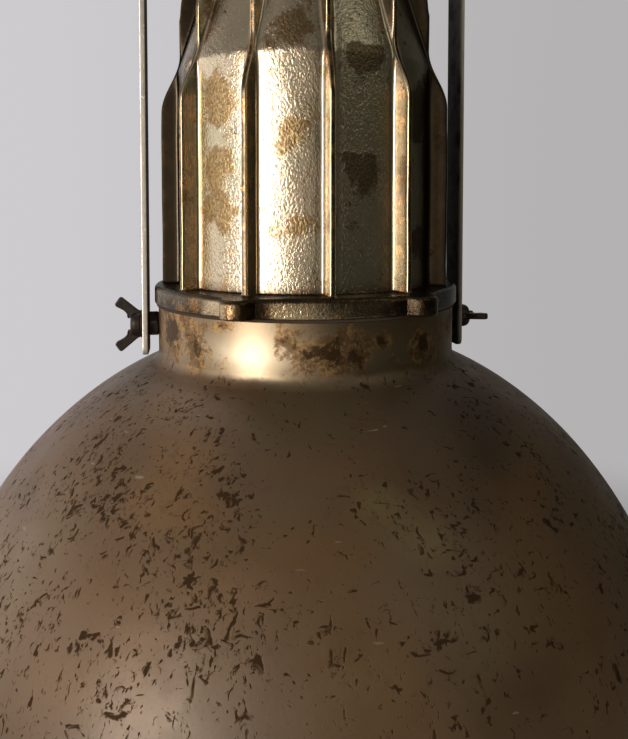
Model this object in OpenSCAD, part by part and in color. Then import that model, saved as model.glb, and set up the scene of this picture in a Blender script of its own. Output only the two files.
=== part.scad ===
// Barn pendant lamp. A ribbed cast housing carries a spun steel dome shade. Both tilt on two
// pivot bolts between the arms of a flat-bar yoke, which swivels under a forged hanging eye.
// The origin is the centre of the hanging eye, +Z is up, and the yoke arms lie on the X axis.
// Everything that tilts is drawn about the pivot axis and moved down to it by in_head().

/* [Housing casting] */
// Outer radius of the plain wall between the fins
wall_r = 74.2; // [70:0.1:77]
// Thickness of the cast wall
wall_t = 4; // [3:0.5:5]
// Height above the flange at which the upright wall starts to lean in
upright_h = 121; // [112:1:130]
// Height of the casting's top face above the flange
housing_h = 190; // [180:1:194]
// Radius of the casting's top face
top_r = 52; // [50:0.5:56]
// Width of the ring between the top face's edge and its opening
top_ring_w = 11; // [9.5:0.5:12]
// Thickness of the ring around that opening
top_ring_h = 10; // [9:1:14]

/* [Fins] */
// Number of upright fins
fin_count = 12; // [6:1:16]
// Radius of the fin tips on the lower part
fin_tip_r = 84; // [80:0.5:87]
// Radius of the fin tips above the step
fin_upper_r = 73.4; // [71:0.2:76]
// Thickness of a fin at the wall
fin_root_w = 5.2; // [4:0.2:7]
// Thickness of a fin at its tip
fin_tip_w = 2.8; // [2:0.2:4]
// Height above the flange at which the fins start to step in
fin_step_z = 98; // [88:1:106]
// Height of the curved step
fin_step_h = 33; // [26:1:38]
// Height above the flange at which the fins curve in to the top
fin_shoulder_z = 150; // [146:1:158]

/* [Flange and ears] */
// Radius of the flange ring
flange_r = 88.5; // [87.5:0.1:90]
// Height of the flange ring
flange_h = 10.5; // [9:0.5:13]
// Rounding of the flange's edges
flange_round = 2.6; // [1:0.2:4]
// Angle of each ear from the front or back of the lamp
ear_angle = 30; // [24:1:36]
// Radius from the lamp's axis to the ear holes
ear_pitch_r = 91.5; // [90:0.5:95]
// Radius of an ear's rounded tip
ear_tip_r = 8.5; // [7:0.5:10]
// Width of an ear where it leaves the flange
ear_base_w = 34; // [26:1:38]
// Radius of the blind hole in each ear
ear_hole_r = 2.5; // [1.5:0.1:3.5]
// Depth of that hole
ear_hole_depth = 8; // [5:0.5:8.5]

/* [Shade] */
// Outer radius of the shade's neck
neck_r = 86.4; // [85.4:0.1:87.4]
// Thickness of the spun sheet
sheet_t = 1.2; // [0.8:0.1:1.5]
// Radius of the concave shoulder between neck and dome
shoulder_r = 8; // [5:0.5:12]
// Radius of curvature of the dome's outline
dome_curve_r = 194.4; // [185:0.2:205]
// Widest radius of the dome
dome_r = 208.4; // [200:0.2:216]
// Depth below the pivot at which the neck ends and the shoulder begins
neck_end_drop = 13.85; // [12.5:0.05:16]
// Depth below the pivot at which the rim skirt starts
skirt_drop = 167; // [160:1:175]
// Height of the rim skirt
skirt_h = 24; // [18:1:30]
// Radius of the rolled bead along the skirt's lower edge
bead_r = 2.6; // [1.8:0.2:3.5]
// Thickness of the fibre gasket between flange and neck
neck_gasket_t = 1.4; // [0.8:0.1:2]

/* [Pivot hardware] */
// Height from the pivot axis up to the underside of the flange
pivot_drop = 13; // [12.5:0.5:15]
// Radius of the pivot bolts
bolt_r = 4; // [3.5:0.1:4.4]
// Width across the flats of the bolt heads and spacer nuts
nut_af = 13; // [12:0.5:14]
// Height of the bolt heads
bolt_head_h = 5.3; // [4:0.1:6]
// Thickness of the spacer nut between neck and yoke
spacer_nut_t = 5.4; // [4:0.1:7]
// Outer radius of the flat washers
washer_r = 8; // [7:0.1:9]
// Thickness of the flat washers
washer_t = 1.2; // [1:0.1:1.6]
// Thickness of a wing of the wing nuts
wing_t = 4.3; // [3:0.1:5]
// Width of a wing
wing_w = 6.4; // [5:0.1:7]
// Reach of the wings along the bolt from the nut's seat
wing_reach = 15; // [12:0.5:17]
// Half the span of the wings, tip to tip
wing_half_span = 16.3; // [14:0.1:18]
// Height of the wing nut's round hub
wing_hub_h = 5.6; // [4.5:0.1:7]

/* [Yoke] */
// Width of the flat bar
yoke_w = 20; // [17:0.5:21]
// Thickness of the flat bar
yoke_t = 3.2; // [2.5:0.1:4]
// Clear height inside the yoke above the pivot axis
yoke_h = 262; // [260:1:285]
// Inside radius of the two bends
bend_r = 14; // [8:1:20]
// Length of the arms below the pivot axis
arm_end = 17; // [15:0.5:17.5]
// Corner radius of the arm ends
arm_round = 4; // [3:0.5:6]

/* [Hanging eye] */
// Radius of the hole in the eye
eye_r = 9; // [7:0.5:12]
// Width of the metal around the eye, measured across the ring
eye_ring_w = 7; // [5:0.5:9]
// Thickness of the eye along its hole
eye_t = 8; // [6:0.5:10]
// Radius of the eye's shank
shank_r = 5; // [4:0.1:6]
// Radius of the collar above the yoke
collar_r = 9; // [8:0.5:11]
// Height of the collar
collar_h = 4; // [3:0.5:6]
// Width across the flats of the lock nut
lock_nut_af = 17; // [15:0.5:19]
// Height of the lock nut
lock_nut_h = 9; // [7:0.5:10]

/* [Top cap and cable gland] */
// Thickness of the top cap
cap_t = 5; // [4:0.5:6]
// Thickness of the cap gasket
cap_gasket_t = 0.8; // [0.5:0.1:1.5]
// Gap between the cable gland's flats and the edge of the opening under the top cap
gland_edge = 5; // [4:0.5:8]
// Radius of the gland's thread
gland_r = 10; // [8.5:0.5:11]
// Width across the flats of the gland
gland_af = 24; // [23:0.5:26]
// Height of the gland's hexagon
gland_hex_h = 5; // [4:0.5:6]
// Height of the gland's domed nut
gland_nut_h = 13; // [10:0.5:14]
// Radius of the cable hole in the gland's seal
cable_r = 4.2; // [3:0.1:5]

/* [Lampholder and bulb] */
// Height of the holder plate's upper face above the pivot
plate_z = 70; // [62:1:76]
// Thickness of the holder plate
plate_t = 2; // [1.5:0.1:3]
// Radius of the porcelain holder
holder_r = 23; // [21:0.5:25]
// Height of the porcelain holder
holder_h = 46; // [44:0.5:50]
// Inner radius of the holder's screw shell
shell_r = 13.4; // [13.4:0.05:13.8]
// Outer radius of the bulb's screw cap
bulb_cap_r = 13.05; // [12.6:0.05:13.1]
// Length of the bulb's screw cap
bulb_cap_h = 23; // [20:0.5:25]
// Radius of the bulb's glass
bulb_r = 30; // [26:0.5:33]
// Length of the bulb's glass from its tip to the cap
bulb_glass_h = 80; // [76:0.5:90]
// Thickness of the glass
glass_t = 1; // [0.8:0.1:1.4]
// Radius of the insulated leads
lead_r = 1.3; // [1:0.1:1.5]

/* [Fits] */
// Radial clearance between a bolt or screw and the thread that holds it
thread_fit = 0.05; // [0.03:0.01:0.08]
// Radial clearance between a bolt and a plain hole
hole_fit = 0.3; // [0.2:0.05:0.4]
// Gap between pieces that are seated on each other
seat_gap = 0.1; // [0.05:0.05:0.2]

/* [Hidden] */
$fn = 96;
overlap = 1;

// The swivel, from the eye's centre down
collar_base_z = -(eye_r + eye_ring_w + 2 + collar_h);
yoke_top_z = collar_base_z - washer_t - 2 * seat_gap;
yoke_under_z = yoke_top_z - yoke_t;
lower_washer_z = yoke_under_z - seat_gap - washer_t;
lock_nut_z = lower_washer_z - seat_gap - lock_nut_h;
shank_end_z = lock_nut_z - 2;
pivot_z = yoke_under_z - yoke_h;

// Heights in the head, from the pivot axis
flange_z = pivot_drop;
body_z = flange_z + flange_h;
kink_z = body_z + upright_h;
top_z = body_z + housing_h;
neck_top_z = flange_z - neck_gasket_t;
ear_inset = 0.4;
ear_z = flange_z + ear_inset;
lean = (wall_r - top_r) / (housing_h - upright_h);

// The spigot that goes into the shade's neck
neck_in_r = neck_r - sheet_t;
spigot_r = neck_in_r - 2 * seat_gap;
spigot_in_r = spigot_r - wall_t;
wall_in_r = wall_r - wall_t;

// The dome, from the pivot axis
dome_cx = dome_r - dome_curve_r;
shoulder_cx = neck_r + shoulder_r;
shoulder_cz = -neck_end_drop;
dome_cz = shoulder_cz - sqrt(pow(dome_curve_r + shoulder_r, 2) - pow(shoulder_cx - dome_cx, 2));
shoulder_angle = atan2(shoulder_cz - dome_cz, shoulder_cx - dome_cx);
spigot_end_z = shoulder_cz + 1;
skirt_z = -skirt_drop;
dome_end_z = skirt_z - 9;
skirt_r = dome_r + 1.4;
bead_z = skirt_z - skirt_h + bead_r;

// The pivots, as distances out from the lamp's axis
boss_r = washer_r + 2;
boss_x = spigot_in_r - 3.5;
inner_washer_x = boss_x - seat_gap - washer_t;
bolt_head_x = inner_washer_x - seat_gap - bolt_head_h;
spacer_nut_x = neck_r + seat_gap;
arm_x = spacer_nut_x + spacer_nut_t + seat_gap;
outer_washer_x = arm_x + yoke_t + seat_gap;
wing_x = outer_washer_x + washer_t + seat_gap;
bolt_end_x = wing_x + wing_hub_h;
left_wing_turn = 0;
right_wing_turn = 86;

// The top cap and gland
top_hole_r = top_r - top_ring_w;
cap_z = top_z + cap_gasket_t;
cap_r = top_r - 0.5;
cap_screw_r = 2;
cap_screw_pitch_r = (top_hole_r + top_r) / 2;
cap_screw_head_h = 2.6;
cap_boss_h = 2;
gland_seat_z = cap_z + cap_t + cap_boss_h;
gland_offset = top_hole_r - gland_af / 2 - gland_edge;
gland_washer_t = 1.2;
gland_body_z = gland_seat_z + gland_washer_t;
gland_neck_h = 5;
gland_nut_z = gland_body_z + gland_hex_h + seat_gap;
gland_bore_r = gland_r - 2;
locknut_h = 4;
gland_thread_end_z = cap_z - locknut_h - 2;
seal_h = 9;

// The lampholder, from the plate down
lug_w = 12;
lug_h = 12;
lug_pitch_r = wall_in_r - 7;
plate_r = wall_in_r - 0.5;
plate_under_z = plate_z - plate_t;
m4_r = 2;
m4_head_r = 3.8;
m4_head_h = 2.6;
holder_end_z = plate_under_z - holder_h;
cavity_top_z = plate_under_z - 8;
shell_t = 0.4;
shell_h = holder_h - 14;
shell_end_z = holder_end_z + 4;
contact_t = 0.8;
contact_z = cavity_top_z - 3;
bulb_tip_z = contact_z - seat_gap;
bulb_insulator_z = bulb_tip_z - 2;
bulb_shoulder_z = bulb_insulator_z - 3;
bulb_cap_end_z = bulb_shoulder_z - bulb_cap_h;
glass_top_z = bulb_cap_end_z + 4;
bulb_centre_z = bulb_cap_end_z - bulb_glass_h + bulb_r;
glass_neck_r = bulb_cap_r - 0.75;
holder_screw_x = 17.5;
lead_hole_x = 8;
lead_hole_y = 15;

// The terminal block on top of the plate
block_size = [34, 16, 14];
block_y = -34;
block_z = plate_z + seat_gap;
way_pitch = 10;
earth_x = 24;

// ---- helpers ----

module in_head() translate([0, 0, pivot_z]) children();

// Drawn with +Z along the pivot bolt, away from the lamp's axis; side is -1 for left, 1 for right
module at_pivot(side) in_head() mirror([side < 0 ? 1 : 0, 0, 0]) rotate([0, 90, 0]) children();

module tube(outer, inner, z0, z1) translate([0, 0, z0]) difference() {
    cylinder(r = outer, h = z1 - z0);
    translate([0, 0, -overlap]) cylinder(r = inner, h = z1 - z0 + 2 * overlap);
}

module hexagon(af, h) cylinder(r = af / 2 / cos(30), h = h, $fn = 6);

module hex_nut(af, h, bore) difference() {
    hexagon(af, h);
    translate([0, 0, -overlap]) cylinder(r = bore, h = h + 2 * overlap);
}

// A cheese-head screw whose head sits on z = 0, with its shank down
module screw(r, length, head_r, head_h) {
    translate([0, 0, -length]) cylinder(r = r, h = length + head_h / 2);
    difference() {
        cylinder(r = head_r, h = head_h);
        translate([-head_r, -0.5, head_h - 1]) cube([2 * head_r, 1, 2]);
    }
}

module four_around(pitch_r, start = 45) for (i = [0:3])
    rotate(start + 90 * i) translate([pitch_r, 0, 0]) children();

// Points on an arc, as a list
function arc(cx, cy, r, a0, a1, n) =
    [for (i = [0:n]) let (a = a0 + (a1 - a0) * i / n) [cx + r * cos(a), cy + r * sin(a)]];

// A smooth curve through hand-set points, with n steps to each stretch
function bend_at(p, i) = p[max(0, min(len(p) - 1, i))];
function smooth(p, n) = concat(
    [for (i = [0:len(p) - 2]) for (k = [0:n - 1])
        let (t = k / n, a = bend_at(p, i - 1), b = p[i], c = p[i + 1], d = bend_at(p, i + 2))
        0.5 * (2 * b + (c - a) * t + (2 * a - 5 * b + 4 * c - d) * t * t
            + (3 * b - a - 3 * c + d) * t * t * t)],
    [p[len(p) - 1]]);

function unit(v) = v / norm(v);

// A round wire swept along a list of points; side_ref is a direction the wire never follows
module wire(path, r, side_ref = [0.3, 0.2, 1], sides = 8) {
    last = len(path) - 1;
    rings = [for (i = [0:last])
        let (t = unit(path[min(last, i + 1)] - path[max(0, i - 1)]),
             u = unit(cross(t, side_ref)), v = cross(t, u))
        for (k = [0:sides - 1]) path[i] + r * (cos(360 * k / sides) * u + sin(360 * k / sides) * v)];
    sleeve = [for (i = [0:last - 1]) for (k = [0:sides - 1])
        let (n = (k + 1) % sides) [i * sides + k, (i + 1) * sides + k, (i + 1) * sides + n, i * sides + n]];
    ends = [[for (k = [0:sides - 1]) k], [for (k = [sides - 1:-1:0]) last * sides + k]];
    polyhedron(rings, concat(sleeve, ends));
}

// ---- hanging eye and swivel ----

module hang_eye() color("#6b5840") {
    rotate([90, 0, 0]) rotate_extrude() eye_section();
    translate([0, 0, collar_base_z]) cylinder(r = collar_r, h = collar_h);
    translate([0, 0, collar_base_z + collar_h - 0.5])
        cylinder(r1 = collar_r - 1, r2 = eye_t / 2, h = 4.5);
    translate([0, 0, shank_end_z]) cylinder(r = shank_r, h = collar_base_z - shank_end_z + overlap);
}

// Section of the eye's ring: rounded outside, straight along the hole
module eye_section() {
    edge = 2;
    translate([eye_r, -eye_t / 2 + edge]) square([eye_ring_w - edge, eye_t - 2 * edge]);
    translate([eye_r + edge, -eye_t / 2]) square([eye_ring_w - 2 * edge, eye_t]);
    for (x = [eye_r + edge, eye_r + eye_ring_w - edge], y = [-1, 1])
        translate([x, y * (eye_t / 2 - edge)]) circle(r = edge, $fn = 32);
    translate([eye_r + edge, -eye_t / 2 + edge]) square([eye_ring_w - edge, eye_t - 2 * edge]);
}

module swivel_washers() color("#8f7a55") for (z = [yoke_top_z + seat_gap, lower_washer_z])
    tube(collar_r + 1, shank_r + hole_fit, z, z + washer_t);

module eye_lock_nut() color("#7d705c") translate([0, 0, lock_nut_z])
    hex_nut(lock_nut_af, lock_nut_h, shank_r + thread_fit);

// ---- yoke ----

module arm_outline() difference() {
    union() {
        translate([-(yoke_h - bend_r), -yoke_w / 2])
            square([yoke_h - bend_r + arm_end - arm_round, yoke_w]);
        translate([0, -yoke_w / 2 + arm_round]) square([arm_end, yoke_w - 2 * arm_round]);
        for (s = [-1, 1]) translate([arm_end - arm_round, s * (yoke_w / 2 - arm_round)])
            circle(r = arm_round);
    }
    circle(r = bolt_r + hole_fit);
}

module yoke_bend() difference() {
    intersection() {
        circle(r = bend_r + yoke_t);
        square(bend_r + yoke_t);
    }
    circle(r = bend_r);
}

module yoke_strap() color("#a08a62") {
    for (side = [-1, 1]) {
        at_pivot(side) translate([0, 0, arm_x]) linear_extrude(yoke_t) arm_outline();
        mirror([side < 0 ? 1 : 0, 0, 0]) translate([arm_x - bend_r, 0, yoke_under_z - bend_r])
            rotate([90, 0, 0]) linear_extrude(yoke_w, center = true) yoke_bend();
    }
    translate([0, 0, yoke_under_z]) difference() {
        translate([-(arm_x - bend_r), -yoke_w / 2, 0]) cube([2 * (arm_x - bend_r), yoke_w, yoke_t]);
        translate([0, 0, -overlap]) cylinder(r = shank_r + hole_fit, h = yoke_t + 2 * overlap);
    }
}

// ---- pivots ----

module pivot_bolt(side) color("#5a5148") at_pivot(side) {
    translate([0, 0, bolt_head_x]) hexagon(nut_af, bolt_head_h);
    translate([0, 0, bolt_head_x + overlap]) cylinder(r = bolt_r, h = bolt_end_x - bolt_head_x - overlap);
}

module pivot_washer(side, x) color("#77694f") at_pivot(side)
    tube(washer_r, bolt_r + hole_fit, x, x + washer_t);

module spacer_nut(side) color("#5d564c") at_pivot(side) translate([0, 0, spacer_nut_x])
    rotate(46) hex_nut(nut_af, spacer_nut_t, bolt_r + thread_fit);

// Half of the wing nut's outline: x along the bolt, y across it
function wing_outline() = let (slope = atan2(wing_half_span - washer_r, wing_reach - 3)) [
    [0, 0], [0, washer_r - 0.4], [1.2, washer_r],
    [wing_reach - wing_w * sin(slope), wing_half_span],
    [wing_reach, wing_half_span - wing_w * cos(slope)],
    [wing_hub_h + 0.6, 4.4], [wing_hub_h - 0.2, 0]];

module wing_nut(side, turn) color("#3b332c") at_pivot(side) translate([0, 0, wing_x])
    rotate(turn) difference() {
        union() {
            cylinder(r = washer_r - 1, h = wing_hub_h);
            translate([0, wing_t / 2, 0]) rotate([90, 0, 0]) linear_extrude(wing_t) for (s = [0, 1])
                mirror([s, 0]) polygon([for (p = wing_outline()) [p[1], p[0]]]);
        }
        translate([0, 0, -overlap]) cylinder(r = bolt_r + thread_fit, h = wing_reach + 2 * overlap);
    }

module left_pivot_bolt() pivot_bolt(-1);
module right_pivot_bolt() pivot_bolt(1);
module left_inner_washer() pivot_washer(-1, inner_washer_x);
module right_inner_washer() pivot_washer(1, inner_washer_x);
module left_spacer_nut() spacer_nut(-1);
module right_spacer_nut() spacer_nut(1);
module left_outer_washer() pivot_washer(-1, outer_washer_x);
module right_outer_washer() pivot_washer(1, outer_washer_x);
module left_wing_nut() wing_nut(-1, left_wing_turn);
module right_wing_nut() wing_nut(1, right_wing_turn);

// ---- housing ----

// Wall, flange and spigot, from the spigot's end up the outside and down the inside
function housing_section() = concat(
    [[spigot_in_r, spigot_end_z], [spigot_r, spigot_end_z], [spigot_r, flange_z]],
    arc(flange_r - 1, flange_z + 1, 1, -90, 0, 3),
    arc(flange_r - flange_round, body_z - flange_round, flange_round, 0, 90, 6),
    [[wall_r, body_z], [wall_r, kink_z], [top_r, top_z], [top_hole_r, top_z],
     [top_hole_r, top_z - top_ring_h],
     [top_r + lean * top_ring_h - wall_t, top_z - top_ring_h - 3],
     [wall_in_r, kink_z - 1], [wall_in_r, body_z + 6], [spigot_in_r, flange_z]]);

// Outline that the fins fill: tips outside, buried in the wall inside
function fin_envelope() = let (shoulder_h = housing_h - fin_shoulder_z - 3, end_r = top_r + 1) concat(
    [[wall_r - 2, body_z - overlap], [fin_tip_r, body_z - overlap]],
    [for (i = [0:10]) let (t = i / 10)
        [fin_upper_r + (fin_tip_r - fin_upper_r) * (1 + cos(180 * t)) / 2,
         body_z + fin_step_z + fin_step_h * t]],
    [for (i = [0:8]) let (a = 90 * i / 8)
        [end_r + (fin_upper_r - 0.6 - end_r) * cos(a), body_z + fin_shoulder_z + shoulder_h * sin(a)]],
    [[top_r - 2, top_z - 3], [wall_r - 2, kink_z]]);

module fin_star() for (i = [0:fin_count - 1]) rotate(360 / fin_count * i) polygon([
    [top_r - 4, -fin_root_w / 2], [wall_r, -fin_root_w / 2], [fin_tip_r + overlap, -fin_tip_w / 2],
    [fin_tip_r + overlap, fin_tip_w / 2], [wall_r, fin_root_w / 2], [top_r - 4, fin_root_w / 2]]);

module fins() intersection() {
    rotate_extrude() polygon(fin_envelope());
    translate([0, 0, body_z - 2 * overlap]) linear_extrude(housing_h + 2 * overlap) fin_star();
}

module ear_outline() {
    translate([ear_pitch_r, 0]) circle(r = ear_tip_r);
    foot = sqrt(pow(flange_r, 2) - pow(ear_base_w / 2, 2)) - 0.2;
    polygon([[foot - 3, -ear_base_w / 2 + 2], [foot, -ear_base_w / 2], [ear_pitch_r, -ear_tip_r],
        [ear_pitch_r, ear_tip_r], [foot, ear_base_w / 2], [foot - 3, ear_base_w / 2 - 2]]);
}

module at_ears() for (back = [0, 180], s = [-1, 1]) rotate(back + s * ear_angle - 90) children();

module ribbed_housing() color("#b09a6c") in_head() difference() {
    union() {
        rotate_extrude() polygon(housing_section());
        fins();
        at_ears() translate([0, 0, ear_z]) linear_extrude(flange_h - 2 * ear_inset) ear_outline();
        for (side = [-1, 1]) rotate([0, 90 * side, 0]) translate([0, 0, boss_x])
            cylinder(r = boss_r, h = spigot_r - 2 - boss_x);
        four_around(lug_pitch_r) translate([-lug_w / 2, -lug_w / 2, plate_z])
            cube([lug_w + 3, lug_w, lug_h]);
    }
    at_ears() translate([ear_pitch_r, 0, ear_z - overlap])
        cylinder(r = ear_hole_r, h = ear_hole_depth + overlap);
    for (side = [-1, 1]) rotate([0, 90 * side, 0]) translate([0, 0, boss_x - overlap])
        cylinder(r = bolt_r + hole_fit, h = spigot_r - boss_x + 2 * overlap);
    four_around(lug_pitch_r) translate([0, 0, plate_z - overlap])
        cylinder(r = m4_r + thread_fit, h = lug_h - 2 + overlap);
    four_around(cap_screw_pitch_r) translate([0, 0, top_z - top_ring_h + 1.5])
        cylinder(r = cap_screw_r + thread_fit, h = top_ring_h);
}

// ---- shade ----

module neck_gasket() color("#3a2f26") in_head()
    tube(flange_r - 1, spigot_r + seat_gap, neck_top_z, flange_z);

// Radius of the dome's outline at a height, for a shell that is inset from the outside
function dome_at(z, inset = 0) = dome_cx + sqrt(pow(dome_curve_r - inset, 2) - pow(z - dome_cz, 2));
function dome_angle(z, inset = 0) = asin((z - dome_cz) / (dome_curve_r - inset));

// One side of the sheet from the neck down to end_z; inset is 0 outside and sheet_t inside
function shade_side(inset, end_z) = concat(
    [[neck_r - inset, neck_top_z]],
    arc(shoulder_cx, shoulder_cz, shoulder_r + inset, 180, 180 + shoulder_angle, 6),
    [for (i = [1:22]) let (r = dome_curve_r - inset,
            a = shoulder_angle + (dome_angle(end_z, inset) - shoulder_angle) * i / 22)
        [dome_cx + r * cos(a), dome_cz + r * sin(a)]]);

// The whole sheet, with a lip turned out to the skirt at its lower edge
function shade_section() = let (edge_r = skirt_r - sheet_t - seat_gap,
        inner = shade_side(sheet_t, dome_end_z - sheet_t)) concat(
    shade_side(0, dome_end_z), [[edge_r, dome_end_z], [edge_r, dome_end_z - sheet_t]],
    [for (i = [len(inner) - 1:-1:0]) inner[i]]);

module dome_shade() color("#5f5040") in_head() difference() {
    rotate_extrude($fn = 160) polygon(shade_section());
    for (side = [-1, 1]) rotate([0, 90 * side, 0]) translate([0, 0, neck_in_r - 4])
        cylinder(r = bolt_r + hole_fit, h = 8);
}

// Skirt section: a lip turned in to the dome, a plain wall and a rolled bead
function skirt_section() = let (lip_r = dome_at(skirt_z - sheet_t) + seat_gap,
        open = asin(sheet_t / 2 / bead_r)) concat(
    [[skirt_r, skirt_z], [lip_r, skirt_z], [lip_r, skirt_z - sheet_t],
     [skirt_r - sheet_t, skirt_z - sheet_t]],
    arc(skirt_r - sheet_t / 2, bead_z, bead_r, 90 + open, 450 - open, 24));

module rim_skirt() color("#4b3f33") in_head() rotate_extrude($fn = 160) polygon(skirt_section());

// ---- top cap and gland ----

module top_cap() color("#8d7850") in_head() difference() {
    union() {
        rotate_extrude() polygon(concat(
            [[0, cap_z], [cap_r, cap_z], [cap_r, cap_z + cap_t - 2]],
            arc(cap_r - 2, cap_z + cap_t - 2, 2, 0, 90, 5), [[0, cap_z + cap_t]]));
        translate([0, gland_offset, cap_z]) cylinder(r = gland_af / 2 + 2.5, h = cap_t + cap_boss_h);
    }
    translate([0, gland_offset, cap_z - overlap])
        cylinder(r = gland_r + thread_fit, h = cap_t + cap_boss_h + 2 * overlap);
    four_around(cap_screw_pitch_r) translate([0, 0, cap_z - overlap])
        cylinder(r = cap_screw_r + hole_fit, h = cap_t + 2 * overlap);
}

module cap_gasket() color("#2e2a26") in_head() difference() {
    tube(cap_r, top_hole_r + 0.5, top_z, cap_z);
    four_around(cap_screw_pitch_r) translate([0, 0, top_z - overlap])
        cylinder(r = cap_screw_r + hole_fit, h = cap_gasket_t + 2 * overlap);
}

module cap_screws() color("#6a5f4c") in_head() four_around(cap_screw_pitch_r)
    translate([0, 0, cap_z + cap_t + seat_gap])
        screw(cap_screw_r, cap_t + cap_gasket_t + top_ring_h - 3, 3.6, cap_screw_head_h);

module at_gland() in_head() translate([0, gland_offset, 0]) children();

module gland_body() color("#9a8358") at_gland() difference() {
    union() {
        translate([0, 0, gland_thread_end_z])
            cylinder(r = gland_r, h = gland_body_z - gland_thread_end_z + overlap);
        translate([0, 0, gland_body_z]) hexagon(gland_af, gland_hex_h);
        translate([0, 0, gland_body_z]) cylinder(r = gland_r - 0.5, h = gland_hex_h + gland_neck_h);
    }
    translate([0, 0, gland_thread_end_z - overlap])
        cylinder(r = gland_bore_r, h = gland_body_z + gland_hex_h + gland_neck_h);
}

module gland_washer() color("#3a2f26") at_gland()
    tube(gland_af / 2 + 1, gland_r + hole_fit, gland_seat_z, gland_body_z);

module gland_seal() color("#201d1b") at_gland()
    tube(gland_bore_r - seat_gap, cable_r, gland_body_z, gland_body_z + seal_h);

module gland_nut() color("#9a8358") at_gland() difference() {
    union() {
        translate([0, 0, gland_nut_z]) hexagon(gland_af, gland_nut_h - 4);
        translate([0, 0, gland_nut_z + gland_nut_h - 4])
            cylinder(r1 = gland_af / 2 - 0.4, r2 = gland_af / 2 - 4.5, h = 4);
    }
    translate([0, 0, gland_nut_z - overlap])
        cylinder(r = gland_r - 0.5 + thread_fit, h = gland_neck_h + overlap + seat_gap);
    translate([0, 0, gland_nut_z]) cylinder(r = cable_r + 1, h = gland_nut_h + overlap);
}

module gland_locknut() color("#9a8358") at_gland()
    translate([0, 0, cap_z - seat_gap - locknut_h])
        difference() {
            hexagon(gland_af, locknut_h);
            translate([0, 0, -overlap]) cylinder(r = gland_r + thread_fit, h = locknut_h + 2 * overlap);
        }

// ---- lampholder ----

module at_lead_holes() for (s = [-1, 1]) translate([s * lead_hole_x, lead_hole_y, 0]) children();

module holder_plate() color("#8b8f91") in_head() translate([0, 0, plate_under_z]) difference() {
    cylinder(r = plate_r, h = plate_t - seat_gap);
    four_around(lug_pitch_r) translate([0, 0, -overlap])
        cylinder(r = m4_r + hole_fit, h = plate_t + 2 * overlap);
    for (s = [-1, 1]) translate([s * holder_screw_x, 0, -overlap])
        cylinder(r = m4_r + hole_fit, h = plate_t + 2 * overlap);
    at_lead_holes() translate([0, 0, -overlap]) cylinder(r = lead_r + 0.8, h = plate_t + 2 * overlap);
    translate([earth_x, block_y + 4, -overlap]) cylinder(r = m4_r + thread_fit, h = plate_t + 2 * overlap);
}

module plate_screws() color("#6a6f72") in_head() four_around(lug_pitch_r)
    translate([0, 0, plate_under_z - seat_gap]) rotate([180, 0, 0])
        screw(m4_r, plate_t + lug_h - 4, m4_head_r, m4_head_h);

module lampholder() color("#e8e2d2") in_head() difference() {
    union() {
        translate([0, 0, holder_end_z]) cylinder(r = holder_r - 3, h = holder_h - 14);
        translate([0, 0, plate_under_z - 16]) cylinder(r = holder_r, h = 16 - seat_gap);
    }
    translate([0, 0, holder_end_z - overlap])
        cylinder(r = shell_r + shell_t + 2 * seat_gap, h = cavity_top_z - holder_end_z + overlap);
    for (s = [-1, 1]) translate([s * holder_screw_x, 0, plate_under_z - 10])
        cylinder(r = m4_r + thread_fit, h = 10 + overlap);
    at_lead_holes() translate([0, 0, plate_under_z - 9]) cylinder(r = lead_r + 0.4, h = 9 + overlap);
}

module holder_screws() color("#6a6f72") in_head() for (s = [-1, 1])
    translate([s * holder_screw_x, 0, plate_z]) screw(m4_r, plate_t + 8, m4_head_r, m4_head_h);

module screw_shell() color("#b59a52") in_head()
    tube(shell_r + shell_t, shell_r, shell_end_z, shell_end_z + shell_h);

module centre_contact() color("#b59a52") in_head() {
    translate([-11, -3, contact_z]) cube([22, 6, contact_t]);
    for (s = [-1, 1]) translate([s * 10 - 1, -3, contact_z]) cube([2, 6, cavity_top_z - contact_z]);
}

// ---- wiring on top of the plate ----

module at_ways() for (i = [-1:1]) translate([way_pitch * i, block_y, 0]) children();

module terminal_block() color("#e2dccb") in_head() difference() {
    translate([-block_size[0] / 2, block_y - block_size[1] / 2, block_z]) cube(block_size);
    at_ways() translate([0, 0, block_z + 6]) rotate([90, 0, 0])
        cylinder(r = lead_r + 0.3, h = block_size[1] + 2 * overlap, center = true);
    at_ways() translate([0, 0, block_z + 9]) cylinder(r = 2.6, h = block_size[2]);
}

module terminal_screws() color("#b59a52") in_head() at_ways() translate([0, 0, block_z + 9.1]) {
    difference() {
        cylinder(r = 2.4, h = 3);
        translate([-3, -0.4, 2.2]) cube([6, 0.8, 2]);
    }
}

// A lead from the block's rear face over to a hole in the plate and down into the holder
module feed_lead(way, hole) {
    start_y = block_y + block_size[1] / 2;
    wire(smooth([
        [way, start_y - 5, block_z + 6], [way, start_y + 1, block_z + 6], [way, start_y + 4, block_z + 6.8],
        [(way + hole) / 2, start_y + 14, block_z + 15],
        [hole, lead_hole_y - 6, block_z + 17], [hole, lead_hole_y, block_z + 10],
        [hole, lead_hole_y, plate_z], [hole, lead_hole_y, plate_under_z - 8]], 4),
        lead_r, [1, 0.35, 0.1]);
}

module live_lead() color("#6b3f22") in_head() feed_lead(0, lead_hole_x);
module neutral_lead() color("#2f5f8c") in_head() feed_lead(-way_pitch, -lead_hole_x);

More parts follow.
